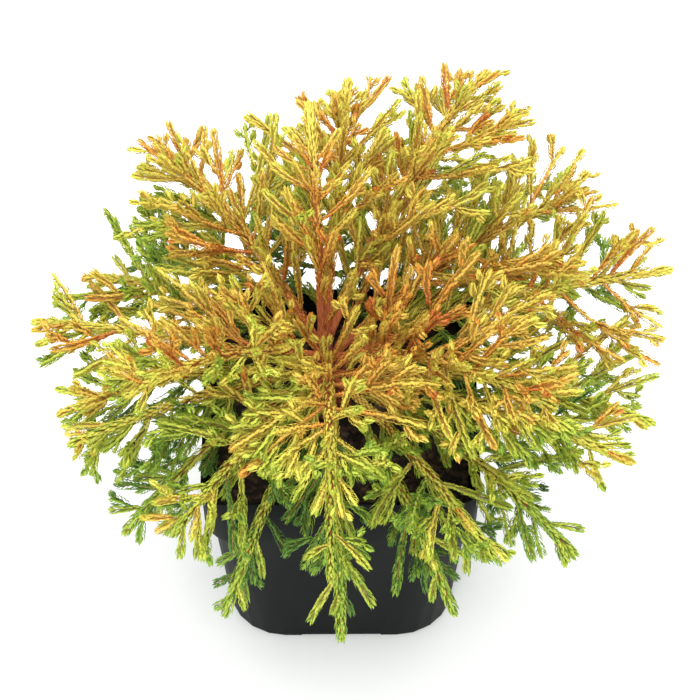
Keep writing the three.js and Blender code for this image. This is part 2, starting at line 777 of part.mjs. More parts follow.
// A mass in one piece: its stem and the spray on the stem's tip, then twig by twig what fits its space
function massSolid(limb, seed) {
  const random = numberStream(seed);
  const tip = limb.curve.getTangent(1);
  const tipRoot = limb.curve.getPoint(limb.massEnd).addScaledVector(tip, -SIDE_SPRAY_SINK);
  const tipSpray = makeSpray(LONG_SPRAY, tipRoot, tip, 1, 1);
  const pieces = [massStemGeometry(limb), sideSprayGeometry(tipSpray)];
  const placed = probePoints(tipSpray);
  const addFirstFitting = (candidates) => {
    const spray = candidates.find((candidate) => sprayFits(limb, candidate, placed));
    if (spray) {
      pieces.push(sideSprayGeometry(spray));
      placed.push(...probePoints(spray));
    }
  };
  const lastTwig = TWIGS_PER_MASS - 1;
  const placeAt = (k) => lerp(limb.massStart, limb.massEnd, lerp(TWIGS_FROM, TWIGS_TO, k / lastTwig));
  for (let k = 0; k < TWIGS_PER_MASS; k++) {
    const hand = k % 2 ? 1 : -1;
    const length = usualLength(k / lastTwig) * (1 + TWIG_LENGTH_SPREAD * (random() - 0.5));
    const angle = radians(lerp(...TWIG_ANGLES, k / lastTwig) + TWIG_ANGLE_SPREAD * (random() - 0.5));
    const roll = radians(TWIG_ROLL * 2 * (random() - 0.5));
    const sideShare = lerp(...SIDE_SPRAY_AT, random());
    const sideSize = lerp(...SIDE_SPRAY_SIZES, random());
    const sizes = SIDE_SPRAY_TRIES.map((share) => share * sideSize);
    const twig = fittingTwig(limb, placeAt(k), hand, angle, roll, length, placed);
    if (twig) {
      pieces.push(twigGeometry(twig));
      placed.push(...probePoints(twig.spray));
      const hands = [hand, -hand];
      addFirstFitting(sizes.flatMap((size) => hands.map((h) => makeSideSpray(twig, sideShare, h, size))));
    }
    if (k < lastTwig) {
      addFirstFitting(sizes.map((size) => makeStemSpray(limb, placeAt(k + 0.5), hand, size)));
    }
  }
  const whole = wasm.Manifold.union(pieces.map(toSolid)).asOriginal().simplify(FINEST_EDGE);
  return withoutSlivers(mainBody(whole));
}

// Materials

const potPlastic = new THREE.MeshStandardMaterial({ color: 0x26292c, roughness: 0.5, metalness: 0 });
const pottingSoil = new THREE.MeshStandardMaterial({ color: 0x2c1f18, roughness: 0.95, metalness: 0 });
const bark = new THREE.MeshStandardMaterial({ color: 0x8e4525, roughness: 0.85, metalness: 0 });
const goldenFoliage = new THREE.MeshStandardMaterial({ color: 0xb98a2e, roughness: 0.7, metalness: 0 });
const limeFoliage = new THREE.MeshStandardMaterial({ color: 0x8a9a34, roughness: 0.7, metalness: 0 });
const greenFoliage = new THREE.MeshStandardMaterial({ color: 0x5c7a2b, roughness: 0.7, metalness: 0 });

// The lower masses are green, the exposed top golden
const foliageOfTier = {
  lower: greenFoliage,
  middle: limeFoliage,
  upper: goldenFoliage,
  leader: goldenFoliage,
};

// Assembly

const plant = new THREE.Group();
plant.add(namedMesh("pot", potGeometry(), potPlastic));
plant.add(namedMesh("soil", soilGeometry(), pottingSoil));
plant.add(namedMesh("stem", stemGeometry(0), bark));

const FIRST_SEED = 7100;
const jackets = [toSolid(stemGeometry(CLEARANCE))];
limbs.forEach((limb, index) => {
  const tierName = limb.name.split("_")[0];
  plant.add(namedMesh(`bough_${limb.name}`, toGeometry(boughSolid(limb, jackets)), bark));
  jackets.push(boughBody(limb, BOUGHS_APART));
  const mass = massSolid(limb, FIRST_SEED + index);
  plant.add(namedMesh(`mass_${limb.name}`, toGeometry(mass), foliageOfTier[tierName]));
});

export default plant;
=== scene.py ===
import functools
import math
from collections import namedtuple

import bpy
import numpy as np
from bpy.props import FloatProperty, FloatVectorProperty, IntProperty, PointerProperty
from bpy.types import Operator, Panel, PropertyGroup
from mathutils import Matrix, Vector
from mathutils.kdtree import KDTree


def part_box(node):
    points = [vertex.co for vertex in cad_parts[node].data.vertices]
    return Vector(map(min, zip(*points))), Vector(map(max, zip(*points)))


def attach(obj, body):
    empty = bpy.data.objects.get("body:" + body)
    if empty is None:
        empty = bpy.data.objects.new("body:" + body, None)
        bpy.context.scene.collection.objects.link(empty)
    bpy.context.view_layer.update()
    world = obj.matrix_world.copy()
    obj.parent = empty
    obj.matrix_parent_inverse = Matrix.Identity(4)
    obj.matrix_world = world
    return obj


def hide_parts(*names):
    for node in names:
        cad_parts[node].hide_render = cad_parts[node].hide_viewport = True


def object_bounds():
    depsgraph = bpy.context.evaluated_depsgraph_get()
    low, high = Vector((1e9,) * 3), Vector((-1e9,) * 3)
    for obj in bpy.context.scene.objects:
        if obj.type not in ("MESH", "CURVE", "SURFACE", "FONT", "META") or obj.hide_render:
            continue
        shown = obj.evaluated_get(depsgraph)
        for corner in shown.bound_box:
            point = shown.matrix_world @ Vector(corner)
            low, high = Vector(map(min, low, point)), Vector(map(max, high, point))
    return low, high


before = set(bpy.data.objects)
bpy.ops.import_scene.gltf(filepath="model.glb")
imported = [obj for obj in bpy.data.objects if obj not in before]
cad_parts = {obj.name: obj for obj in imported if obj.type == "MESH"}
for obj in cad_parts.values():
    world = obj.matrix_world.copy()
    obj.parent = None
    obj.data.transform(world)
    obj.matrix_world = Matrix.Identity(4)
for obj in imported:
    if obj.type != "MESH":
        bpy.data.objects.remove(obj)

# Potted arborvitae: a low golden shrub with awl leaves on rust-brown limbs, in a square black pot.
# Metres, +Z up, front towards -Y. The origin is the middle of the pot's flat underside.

bl_info = {
    "name": "Potted arborvitae",
    "version": (1, 0, 0),
    "blender": (4, 5, 0),
    "location": "3D View > Sidebar > Arborvitae",
    "description": "Dresses the frame of a potted golden arborvitae with bark, twigs and awl leaves",
    "category": "Object",
}

MM = 0.001
CAD_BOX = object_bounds()
UP = np.array([0.0, 0.0, 1.0])

# Pot and stem, as in the frame, and the clearance that the stem keeps from the soil
RIM_WIDTH = 130 * MM
POT_HEIGHT = 125 * MM
SOIL_LEVEL = 110 * MM
STEM_FOOT = np.array([-3, 4, 110]) * MM
STEM_BEND = np.array([-3.5, 5, 131]) * MM
STEM_FORK = np.array([-8, 10, 152]) * MM
STEM_RADIUS = 5.2 * MM
STEM_TIP_RADIUS = 3.6 * MM
FLARE_RADIUS = 9 * MM
FLARE_HEIGHT = 9 * MM
FLARE_LOBES = 3
FLARE_LOBE_DEPTH = 0.22
CLEARANCE = 0.3 * MM

# The stem's tube: its rings and sides, where its rounded end starts and over which share of its way it
# goes, and how much deeper its furrows are than the limbs'
STEM_RINGS = 90
STEM_SIDES = 72
STEM_DOME_FROM = 0.93
STEM_DOME = 0.07
STEM_RELIEF = 1.6

# The pot's mesh: points closer than this are one, and edges are dissolved if they are flatter than the first
# angle, shaded hard if sharper than the second and rounded if sharper than the third
DOUBLES_WITHIN = 0.01 * MM
FLAT_EDGE = math.radians(1)
HARD_EDGE = math.radians(34)
ROUNDED_EDGE = math.radians(35)

# The soil's surface: the cuts that make its grid, how far under its level it still counts, the band beside
# the pot over which it flattens, its lumps' and grains' share of the relief, and how far it sinks in all
SOIL_CUTS = 7
SOIL_SURFACE = 4 * MM
SOIL_FLATTENS = (56 * MM, 60 * MM)
SOIL_LUMPS = 0.55
SOIL_GRAINS = 0.3
SOIL_SINKS = 0.2

# The crumbs: how far under the soil's level the surface that they lie on goes, how near the stem they come
# beside its flare, how far they stray from the surface's grid, their least size beside the largest, how
# flat they are, how uneven, and how deep they sink
CRUMB_SEED = 17
CRUMB_SURFACE = 3 * MM
CRUMBS_FROM_STEM = 1.4
CRUMB_STRAYS = np.array([1.5, 1.5, 0]) * MM
SMALLEST_CRUMB = 0.3
CRUMB_FLATNESS = np.array([1, 1, 0.7])
CRUMB_UNEVENNESS = 0.5
CRUMB_SINKS = 1.2 * MM

# The crown: a low mound, wider than high, that overhangs the pot on all sides. Foliage may go past its
# surface by a share of its radii, keeps clear of the rim, faces outward with a lean up, keeps inside the
# CAD box and ends at most so far past its own mass's box.
CROWN_MIDDLE = np.array([7, 7, 164]) * MM
CROWN_RADII = np.array([150, 138, 86]) * MM
CROWN_SLACK = 0.05
RIM_CLEARANCE = 2 * MM
UPWARD_LEAN = 0.6
BOX_MARGIN = 1 * MM
MASS_MARGIN = 9 * MM

# Where along a shoot its reach, the space of its limb and its elbow room are looked at
REACH_AT = np.array([0.25, 0.5, 0.75, 1.0])
OWN_SPACE_AT = np.array([0.6, 1.0])
CROWDED_AT = np.array([0.55, 1.0])

# Each tier of limbs: the way every limb points, in degrees from +X towards +Y, the distance of its tip
# from the pot's middle and the tip's height in millimetres, how long its branches grow beside usual ones,
# and for the whole tier where the limbs leave the stem, how high they arch, how thick they are and from
# which share of their way on they are clothed
TIERS = {
    "lower": {
        "azimuths": [352, 322, 295, 270, 244, 214, 186, 147, 97, 42],
        "reaches": [148, 137, 122, 121, 121, 121, 133, 140, 131, 137],
        "heights": [128, 111, 104, 98, 101, 108, 128, 121, 116, 118],
        "leaves_stem_at": [6, 18],
        "arch": 38,
        "radius": 1.8,
        "clothed_from": 0.42,
        "fans": [0.95, 0.8, 0.5, 0.4, 0.5, 0.7, 1.0, 1.3, 1.4, 1.5],
    },
    "middle": {
        "azimuths": [16, 337, 302, 268, 232, 200, 168, 122, 68],
        "reaches": [163, 144, 128, 121, 122, 132, 149, 138, 139],
        "heights": [162, 146, 146, 146, 147, 146, 142, 156, 158],
        "leaves_stem_at": [20, 29],
        "arch": 10,
        "radius": 2.0,
        "clothed_from": 0.4,
        "fans": [1.1, 0.95, 0.9, 0.8, 0.85, 0.9, 0.9, 0.9, 1.0],
    },
    "upper": {
        "azimuths": [33, 61, 88, 130, 208, 268, 328],
        "reaches": [140, 146, 126, 137, 108, 104, 112],
        "heights": [184, 211, 207, 187, 190, 190, 190],
        "leaves_stem_at": [31, 38],
        "arch": 4,
        "radius": 2.1,
        "clothed_from": 0.32,
        "fans": [1.1, 0.95, 0.9, 0.9, 0.9, 0.9, 0.95],
    },
    "leader": {
        "azimuths": [100],
        "reaches": [82],
        "heights": [238],
        "leaves_stem_at": [42, 42],
        "arch": 0,
        "radius": 2.3,
        "clothed_from": 0.28,
        "fans": [0.4],
    },
}

# Where on its way a limb bends, how much its tip's height counts in where it leaves the stem, the rest being
# its turn in the tier, and how thick its tip is
BEND_AT = 0.42
STEEP_LEAVE_HIGHER = 0.7
LIMB_TIP_RADIUS = 0.55 * MM

# The limbs' tubes: their rings and sides, how soon they thin out, the collar at their foot, the lengths of
# the waves in which they stray to the side and up, and the radius from which on the relief is full
LIMB_RINGS = 110
LIMB_SIDES = 16
LIMB_THINNING = 2.3
LIMB_COLLAR = 0.35
LIMB_COLLAR_LENGTH = 3 * MM
SWAY_WAVE = 7 * MM
LIFT_WAVE = 9 * MM
FULL_RELIEF_RADIUS = 1.6 * MM

# The bark's fibres, as ridges round the limb, the length of their waves along it in millimetres and their
# share of the relief, and its flakes, as their length and share
BARK_FIBRES = [(3, 9, 0.3), (5, 6, 0.25), (9, 4, 0.3), (14, 3, 0.2)]
BARK_FLAKE_LENGTH = 2.6 * MM
BARK_FLAKES = 0.35

# The branches along a limb's clothed stretch: their lengths in millimetres at its foot, in its middle and
# at its tip, their angles to the limb in degrees at its foot and tip, how lengths, angles and places
# scatter, how long they may be beside the rest of the limb and how much more, and how much earlier than
# the clothed stretch they start; and the share of a limb's way from which on it is a shoot itself
BRANCH_LENGTHS = [58, 70, 48]
BRANCH_ANGLES = [70, 40]
BRANCH_LENGTH_SCATTER = 0.24
BRANCH_ANGLE_SCATTER = 12
BRANCH_PLACE_SCATTER = 0.012
LONGEST_BESIDE_REST = 0.8
LONGEST_MORE = 14 * MM
CLOTHED_EARLIER = 0.1
TIPS_FROM = 0.72

# How each kind of shoot grows: from where to where it stands on its carrier, the middle and the spread of
# its angle to the carrier and of its roll round it in degrees, how far its tip turns back to the carrier's
# way and how much it lifts, the room that it needs beside the pot and its radius at the foot in
# millimetres, how much thicker a longer one is, and the middle and the spread of its own share of sun.
# The branches' angles are given above.
HABITS = {
    "branches": {
        "stands": (0.3, 0.97), "roll": (0, 44), "turn": 0.28, "lift": 0.08,
        "room": 3, "radius": 0.42, "thickens": 0.006, "sun": (0, 0.12),
    },
    "risers": {
        "stands": (0.2, 0.95), "angle": (46, 12), "roll": (68, 34), "turn": 0.25, "lift": 0.2,
        "room": 3, "radius": 0.7, "thickens": 0, "sun": (0, 0.12),
    },
    "spurs": {
        "stands": (0.03, 0.42), "angle": (52, 15), "roll": (55, 55), "turn": 0.3, "lift": 0.2,
        "room": 3, "radius": 0.6, "thickens": 0, "sun": (-0.03, 0.08),
    },
    "branchlets": {
        "stands": (0.14, 0.96), "angle": (44, 12), "roll": (8, 46), "turn": 0.5, "lift": 0.06,
        "room": 2, "radius": 0.5, "thickens": 0, "sun": (0, 0.09),
    },
    "lobes": {
        "stands": (0.5, 0.98), "angle": (46, 10), "roll": (0, 40), "turn": 0.4, "lift": 0.05,
        "room": 1.5, "radius": 0.4, "thickens": 0, "sun": (0, 0.04),
    },
}
RISERS_APART = 7 * MM
SPURS_APART = 4.2 * MM

# The shortest risers and spurs in millimetres, and how much longer they may be
UPRIGHT_LENGTHS = {"risers": (24, 16), "spurs": (24, 24)}

# The length of a branchlet or lobe: its share of the rest of its carrier, what is added, the least and the
# most in millimetres, and then the least factor on it and how much larger that factor may be
SIDE_LENGTHS = {"branchlets": (0.42, 8, 9, 27, 0.6, 0.7), "lobes": (0.35, 5, 5.5, 9, 0.8, 0.4)}

# The shares to which a shoot that doesn't fit is shortened, and how uneven the mound's surface is beside
# its radius
SHORTENINGS = [1.0, 0.84, 0.68, 0.54, 0.4]
RAGGEDNESS = 0.11

# How much farther away a branch's own limb may be than the nearest one, as a factor and a length, and the
# elbow room of a branch beside a branchlet's, and of a branchlet beside its carriers
OWN_SPACE_FACTOR = 1.8
OWN_SPACE_SLACK = 8 * MM
BRANCH_ELBOW_ROOM = 1.2
ROOM_BESIDE_CARRIER = 0.6

# The tubes of twigs and of young shoots: the kinds in each piece with their rings and sides, how thick they
# are at the tip, how much thicker at the foot and over which length, and how far the last ring closes
TUBES = {
    "twig": [("branches", 8, 5)],
    "shoot": [("branchlets", 4, 4), ("lobes", 3, 3)],
}
TUBE_TIP = 0.5
TUBE_COLLAR = 0.45
TUBE_COLLAR_LENGTH = 1.2 * MM
TUBE_END = 0.6

# The sun on the foliage, which picks its tint: partly the shrub's own colour, golden in the sun and green in
# the shade, and partly painted shade, as the front is given less sun, darker and greener, because the light
# falls from behind and above. The ranges over which height, front, middle, top and rim count, the usual
# share of sun, how much height, front and rim change it, and the middle at the foot and at the top of its
# range
SUN_HEIGHTS = (108 * MM, 195 * MM)
SUN_FRONT = (10 * MM, 100 * MM)
SUN_MIDDLE = (0.4, 0.95)
SUN_TOP = (145 * MM, 180 * MM)
SUN_RIM = (90 * MM, 140 * MM)
USUAL_SUN = 0.46
HIGH_SUN = 0.22
FRONT_SHADE = 0.14
RIM_SUN = 0.06
MIDDLE_SUN = (-0.14, 0.25)

# The shade that foliage casts on what it covers, painted into the tint: covered foliage is made greener and
# darker, partly the shrub's own green in the shade and partly painted shade; and the width of the cells that
# measure the cover
COVER_DEPTHS = (8 * MM, 42 * MM)
COVER_SHADE = 0.22
COVER_CELL = 7 * MM

# The foliage's colours from shade to full sun, the shaded ones greener as the shrub's own are and darker as
# painted shade, with the share of sun that each one ends at, and the material slot of the record that it
# belongs to
TINTS = [
    ("deep_green", 0.20, "foliage_green"),
    ("mid_green", 0.32, "foliage_green"),
    ("fresh_green", 0.43, "foliage_green"),
    ("lime", 0.54, "foliage_lime"),
    ("yellow_lime", 0.65, "foliage_lime"),
    ("yellow_gold", 0.80, "foliage_gold"),
    ("gold", 0.93, "foliage_gold"),
    ("amber", 1.06, "foliage_gold"),
    ("rust_orange", 9.0, "foliage_gold"),
]
SUNNY_FROM = 0.5
TRIANGLES_PER_LEAF = 6
MOST_TRIANGLES = 190000

# How far the leaves' roots turn rusty at most, more in each tint than in the one before, how far their tips
# turn pale in every tint, how rough both are and how glossy
RUSTIEST_ROOT = 0.12
PALE_TIP = 0.04
ROOT_ROUGHNESS = 0.65
TIP_ROUGHNESS = 0.6
LEAF_GLOSS = 0.22

# How far round each pair of leaves is turned from the last: crosswise on shoots, in a spiral on limbs
QUARTER_TURN = math.pi / 2
SPIRAL_TURN = math.radians(68.75)

# The leaves on each kind of shoot: the share of its way at which they start, how far apart their pairs are
# beside usual ones, how many degrees more they stand off, how much more sun they have at the foot, their
# size at the foot beside full ones and the turn between two pairs
CLOTHING = {
    "limbs": (0.12, 0.8, 4, 0.4, 0.6, SPIRAL_TURN),
    "branches": (0.06, 1.1, 0, 0.34, 0.55, QUARTER_TURN),
    "tips": (0.0, 1.1, 1, 0.1, 0.8, QUARTER_TURN),
    "branchlets": (0.08, 1.0, 0, 0.16, 0.75, QUARTER_TURN),
    "lobes": (0.18, 0.95, -2, 0.0, 0.9, QUARTER_TURN),
}

# The leaves: how many degrees they stand off and how much more in the shade, the size of the last one
# beside full ones and over which length to the tip they shrink to it, from which share of the way they are
# full, between which factors they scatter, how narrow the smallest is, and how their turn in radians,
# their lay in degrees and their sun scatter
LEAF_SEED = 92
LEAF_STANDS_OFF = 28
SHADED_LEAF_STANDS_OFF_MORE = 7
SHORTEST_LEAF = 0.46
LEAVES_SHRINK_OVER = 5 * MM
LEAVES_FULL_FROM = 0.6
LEAF_SIZES = (0.86, 1.12)
NARROWEST_LEAF = 0.85
LEAF_TURN_SCATTER = 0.2
LEAF_LAY_SCATTER = 2.5
LEAF_SUN_SCATTER = 0.02

# The shoot under the leaves: where the first pair sits between two places, how much thinner the shoot is at
# its tip, and how far out from its middle the leaves are rooted beside its radius
FIRST_PAIR = 0.8
SHOOT_THINS = 0.5
ROOTED_AT = 0.6

# The sun along a shoot: the range in which it turns from shade to sun, how much less its foot differs in the
# shade, how much less sun a tip has and how much more in the shade, and the share of the sunny shoots
# whose tips are scorched, how much sun such a shoot has at least, how much more it gets and from where on
SHADE_TO_SUN = (0.15, 0.4)
SHADE_EVENS_FOOT = 0.7
TIP_SHADE = 0.05
SHADED_TIP_SUN = 0.19
SCORCHED_TIPS = 0.12
SCORCHED_SUN = 0.5
SCORCH = 0.3
SCORCHED_FROM = 0.4

# A leaf's shape: where its waist lies and how far it bulges and the tip drops, beside the length, and how
# the keel is shared out between its outer and its inner face
WAIST_AT = 0.55
WAIST_BULGE = 0.03
TIP_DROP = 0.2
KEEL_OUTSIDE = 0.7
KEEL_INSIDE = 0.3

# What the dark and the pale patches of a material turn towards and how far, where in the noise its dark,
# its plain and its pale colour lie, and what the dusty pot and the crumbs turn towards and how far
PATCHES = {
    "bark": ((0.02, 0.008, 0.004), 0.62, (0.5, 0.26, 0.12), 0.3, (0.37, 0.5, 0.65)),
    "twig": ((0.05, 0.03, 0.01), 0.35, (0.8, 0.62, 0.3), 0.2, (0.35, 0.55, 0.75)),
    "soil": ((0.004, 0.003, 0.002), 0.6, (0.26, 0.17, 0.1), 0.45, (0.36, 0.52, 0.7)),
}
DUST = (0.16, 0.15, 0.14)
DUSTY = 0.05
DRY_CRUMB = (0.2, 0.12, 0.07)
CRUMB_DRYNESS = 0.15

# The stage: the floor's width, for the setting of each light's power its name, place, size and colour, what
# the lights aim at, the camera's sensor and lens in millimetres, and how far it looks to the right of the
# rim's middle and above it
FLOOR_WIDTH = 8
LIGHTS = {
    "softbox": ("softbox_top", (0.1, 0.25, 1.5), 1.0, (1, 0.985, 0.96)),
    "fill": ("softbox_front", (-0.3, -1.35, 0.55), 0.9, (1, 1, 1)),
}
LIGHTS_AIM = (0, 0, 0.16)
SENSOR_WIDTH = 36
LENS = 154.9
LOOKS_RIGHT = 4.75 * MM
LOOKS_UP = 20.9 * MM


# Colours and small vector tools

def linear(red, green, blue):
    """A screen colour of 0 to 255 as the light values that the shaders take."""
    shares = [value / 255 for value in (red, green, blue)]
    return tuple(s / 12.92 if s <= 0.04045 else ((s + 0.055) / 1.055) ** 2.4 for s in shares)


def mix(a, b, share):
    return a + (b - a) * share


def mix_colors(a, b, share):
    return tuple(mix(x, y, share) for x, y in zip(a, b))


def unit(vectors):
    return vectors / np.maximum(np.linalg.norm(vectors, axis=-1, keepdims=True), 1e-12)


def smooth_step(values, low, high):
    share = np.clip((values - low) / (high - low), 0, 1)
    return share * share * (3 - 2 * share)


def column(values):
    return np.asarray(values, float)[..., None]


def curve_point(start, bend, tip, share):
    """The point at a share of the way from a start over a bend to a tip."""
    return (1 - share) ** 2 * start + 2 * share * (1 - share) * bend + share**2 * tip


def copies_of(faces, corners, count):
    """The triangles of so many copies of a mesh with so many corners, one after the other."""
    return (faces[None] + (np.arange(count) * corners)[:, None, None]).reshape(-1, 3)


# The mound

def mound_share(points):
    """How far out in the mound points lie: 0 in the middle, 1 on its surface."""
    return np.linalg.norm((points - CROWN_MIDDLE) / CROWN_RADII, axis=-1)


def directions_at(points, along):
    """Directions to the side, and up and out of the mound, at points of something that runs along."""
    outward = unit((points - CROWN_MIDDLE) / CROWN_RADII**2) + UPWARD_LEAN * UP
    side = unit(np.cross(outward, along))
    return side, unit(np.cross(along, side))


def near_pot(points, radius):
    """True for points where a ball of that radius would come too near the pot or the soil in it."""
    clear = RIM_CLEARANCE + radius
    over_pot = np.abs(points[..., :2]).max(-1) < RIM_WIDTH / 2 + clear
    return over_pot & (points[..., 2] < POT_HEIGHT + clear)


# Shoots

class Shoots:
    """Shoots of one kind, one a row: each a curve from its start over its bend to its tip."""

    FIELDS = ("start", "bend", "tip", "face", "radius", "limb", "sun")

    def __init__(self, *values):
        for name, value in zip(self.FIELDS, values, strict=True):
            setattr(self, name, value)

    def __len__(self):
        return len(self.start)

    def at(self, rows, share):
        return curve_point(self.start[rows], self.bend[rows], self.tip[rows], column(share))

    def way(self, rows, share):
        t = column(share)
        return unit((1 - t) * (self.bend[rows] - self.start[rows]) + t * (self.tip[rows] - self.bend[rows]))

    def across(self, rows, share):
        """The side of a shoot and the way its flat face looks, both square to it."""
        along = self.way(rows, share)
        side = unit(np.cross(self.face[rows], along))
        return side, np.cross(along, side)

    def lengths(self):
        chord = np.linalg.norm(self.tip - self.start, axis=1)
        legs = np.linalg.norm(self.bend - self.start, axis=1) + np.linalg.norm(self.tip - self.bend, axis=1)
        return (2 * chord + legs) / 3

    def rows(self, wanted):
        return Shoots(*[getattr(self, name)[wanted] for name in self.FIELDS])


# The limbs as shoots, and for each one the share of its way from which on it is clothed, how far out in the
# mound its foliage may reach and how long its branches grow beside usual ones
Limbs = namedtuple("Limbs", "shoots clothed_from reach fans")


def joined(groups):
    return Shoots(*[np.concatenate([getattr(group, name) for group in groups]) for name in Shoots.FIELDS])


def numbered(counts):
    """The row of each of so many places on every shoot, and its number on that shoot."""
    rows = np.repeat(np.arange(len(counts)), counts)
    return rows, np.arange(len(rows)) - np.repeat(np.cumsum(counts) - counts, counts)


def places_along(shoots, spacing, kind):
    """Places every spacing where a kind of shoot stands on each shoot: its row, its share and its hand."""
    first, last = HABITS[kind]["stands"]
    counts = np.maximum(0, np.round(shoots.lengths() * (last - first) / spacing)).astype(int)
    rows, number = numbered(counts)
    share = first + (number + 0.5) / counts[rows] * (last - first)
    return rows, share, np.where((number + rows) % 2 == 0, -1.0, 1.0)


def grow(kind, parents, rows, share, hand, angle, roll, length):
    """New shoots that leave their parents to one side at an angle, rolled out of the parents' flat."""
    habit = HABITS[kind]
    base = parents.at(rows, share)
    along = parents.way(rows, share)
    side, up = parents.across(rows, share)
    sideways = side * column(hand * np.cos(roll)) + up * column(np.sin(roll))
    first_way = along * column(np.cos(angle)) + sideways * column(np.sin(angle))
    last_way = unit(mix(first_way, along, habit["turn"]) + UP * habit["lift"])
    bend = base + first_way * column(length * 0.5)
    tip = bend + last_way * column(length * 0.5)
    face = directions_at(base, first_way)[1]
    radius = habit["radius"] * MM + habit["thickens"] * length
    return Shoots(base, bend, tip, face, radius, parents.limb[rows], parents.sun[rows])


def points_on(shoots, shares):
    """Points at the same shares of all the shoots, as shoots by shares by three."""
    rows = np.arange(len(shoots))[:, None]
    return shoots.at(rows, np.broadcast_to(shares, (len(shoots), len(shares))))


@functools.lru_cache(maxsize=1)
def grow_limbs():
    """The limbs, by the same rule as the frame's boughs."""
    start, bend, tip, radius, clothed_from, fans = [], [], [], [], [], []
    for tier in TIERS.values():
        lowest = min(tier["heights"])
        range_of_heights = max(1, max(tier["heights"]) - lowest)
        for index, azimuth in enumerate(tier["azimuths"]):
            turn = math.radians(azimuth)
            reach = tier["reaches"][index]
            height = tier["heights"][index]
            end = np.array([reach * math.cos(turn), reach * math.sin(turn), height]) * MM
            rise = mix(index % 2, (height - lowest) / range_of_heights, STEEP_LEAVE_HIGHER)
            foot = stem_point(mix(*tier["leaves_stem_at"], rise) * MM / (STEM_FORK[2] - STEM_FOOT[2]))
            middle = mix(foot, end, BEND_AT)
            middle[2] = max(foot[2], end[2]) + tier["arch"] * MM
            start.append(foot)
            bend.append(middle)
            tip.append(end)
            radius.append(tier["radius"] * MM)
            clothed_from.append(tier["clothed_from"])
            fans.append(tier["fans"][index])
    start, bend, tip = np.array(start), np.array(bend), np.array(tip)
    face = directions_at(mix(start, tip, 0.5), unit(tip - start))[1]
    count = len(start)
    shoots = Shoots(start, bend, tip, face, np.array(radius), np.arange(count), np.zeros(count))
    reach = np.maximum(1, mound_share(tip)) + CROWN_SLACK
    return Limbs(shoots, np.array(clothed_from), reach, np.array(fans))


def stem_point(share):
    return curve_point(STEM_FOOT, STEM_BEND, STEM_FORK, share)


@functools.lru_cache(maxsize=1)
def mass_boxes():
    """The lowest and highest corner that each limb's foliage keeps to: its mass's box and a little more."""
    names = [f"{tier}_{k + 1}" for tier in TIERS for k in range(len(TIERS[tier]["heights"]))]
    names[-1] = "leader"
    boxes = [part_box(f"mass_{name}") for name in names]
    low = np.array([box[0] for box in boxes]) - MASS_MARGIN
    high = np.array([box[1] for box in boxes]) + MASS_MARGIN
    low = np.maximum(low, np.array(CAD_BOX[0]) + BOX_MARGIN)
    return low, np.minimum(high, np.array(CAD_BOX[1]) - BOX_MARGIN)


def in_reach(shoots, width, raggedness):
    """True for shoots that stay in the mound as far as their own limb reaches, and clear of the pot."""
    points = points_on(shoots, REACH_AT)
    reach = grow_limbs().reach[shoots.limb] - raggedness
    inside = (mound_share(points) < reach[:, None]).all(1)
    low, high = mass_boxes()
    boxed = ((shoots.tip > low[shoots.limb]) & (shoots.tip < high[shoots.limb])).all(1)
    return inside & boxed & ~near_pot(points, width).any(1)


def in_own_space(shoots):
    """True for shoots that stay nearer to their own limb than to the others, give or take a little."""
    limbs = grow_limbs()
    clothed_from = column(limbs.clothed_from)
    shares = np.linspace(0, 1, 15)[None, :] * (1 - clothed_from) + clothed_from
    lines = limbs.shoots.at(np.arange(len(shares))[:, None], shares)
    ends = points_on(shoots, OWN_SPACE_AT).reshape(-1, 3)
    gaps = np.linalg.norm(ends[:, None, None, :] - lines[None], axis=-1).min(-1)
    own = gaps[np.arange(len(ends)), np.repeat(shoots.limb, 2)]
    nearest = gaps.min(1)
    return (own < OWN_SPACE_FACTOR * nearest + OWN_SPACE_SLACK).reshape(-1, 2).all(1)


def search_tree(points):
    tree = KDTree(len(points))
    for index, point in enumerate(points):
        tree.insert(point, index)
    tree.balance()
    return tree


def thinned(rng, shoots, apart, carriers=None):
    """The shoots without those whose middle or end crowds another's, or the side of a carrier."""
    points = points_on(shoots, CROWDED_AT).reshape(-1, 3)
    free = np.ones(len(shoots), bool)
    if carriers is not None:
        carried = search_tree(points_on(carriers, np.linspace(0.1, 1, 10)).reshape(-1, 3))
        room = apart * ROOM_BESIDE_CARRIER
        free = np.array([carried.find(point)[2] > room for point in points]).reshape(-1, 2).all(1)
    tree = search_tree(points)
    kept = np.zeros(len(shoots), bool)
    for row in rng.permutation(len(shoots)):
        near = [tree.find_range(point, apart) for point in points[2 * row:2 * row + 2]]
        crowd = [index // 2 for found in near for _, index, _ in found]
        kept[row] = free[row] and not kept[crowd].any()
    return shoots.rows(kept)


def grow_fitting(rng, kind, parents, rows, share, hand, angle, roll, length):
    """Grows shoots, each at the longest of the shortenings that fits, and leaves out what never fits."""
    habit = HABITS[kind]
    best = grow(kind, parents, rows, share, hand, angle, roll, length)
    placed = np.zeros(len(rows), bool)
    raggedness = RAGGEDNESS * rng.random(len(rows))
    for shorter in SHORTENINGS:
        tried = grow(kind, parents, rows, share, hand, angle, roll, length * shorter)
        fits = in_reach(tried, habit["room"] * MM, raggedness) & ~placed
        if kind == "branches":
            fits &= in_own_space(tried)
        best.bend[fits] = tried.bend[fits]
        best.tip[fits] = tried.tip[fits]
        placed |= fits
    best.sun = best.sun + rng.normal(*habit["sun"], len(rows))
    return best.rows(placed)


def spread(rng, rows, middle, range_):
    """Numbers around a middle value, one for each row, in degrees turned to radians."""
    return np.radians(middle + range_ * (rng.random(len(rows)) * 2 - 1))


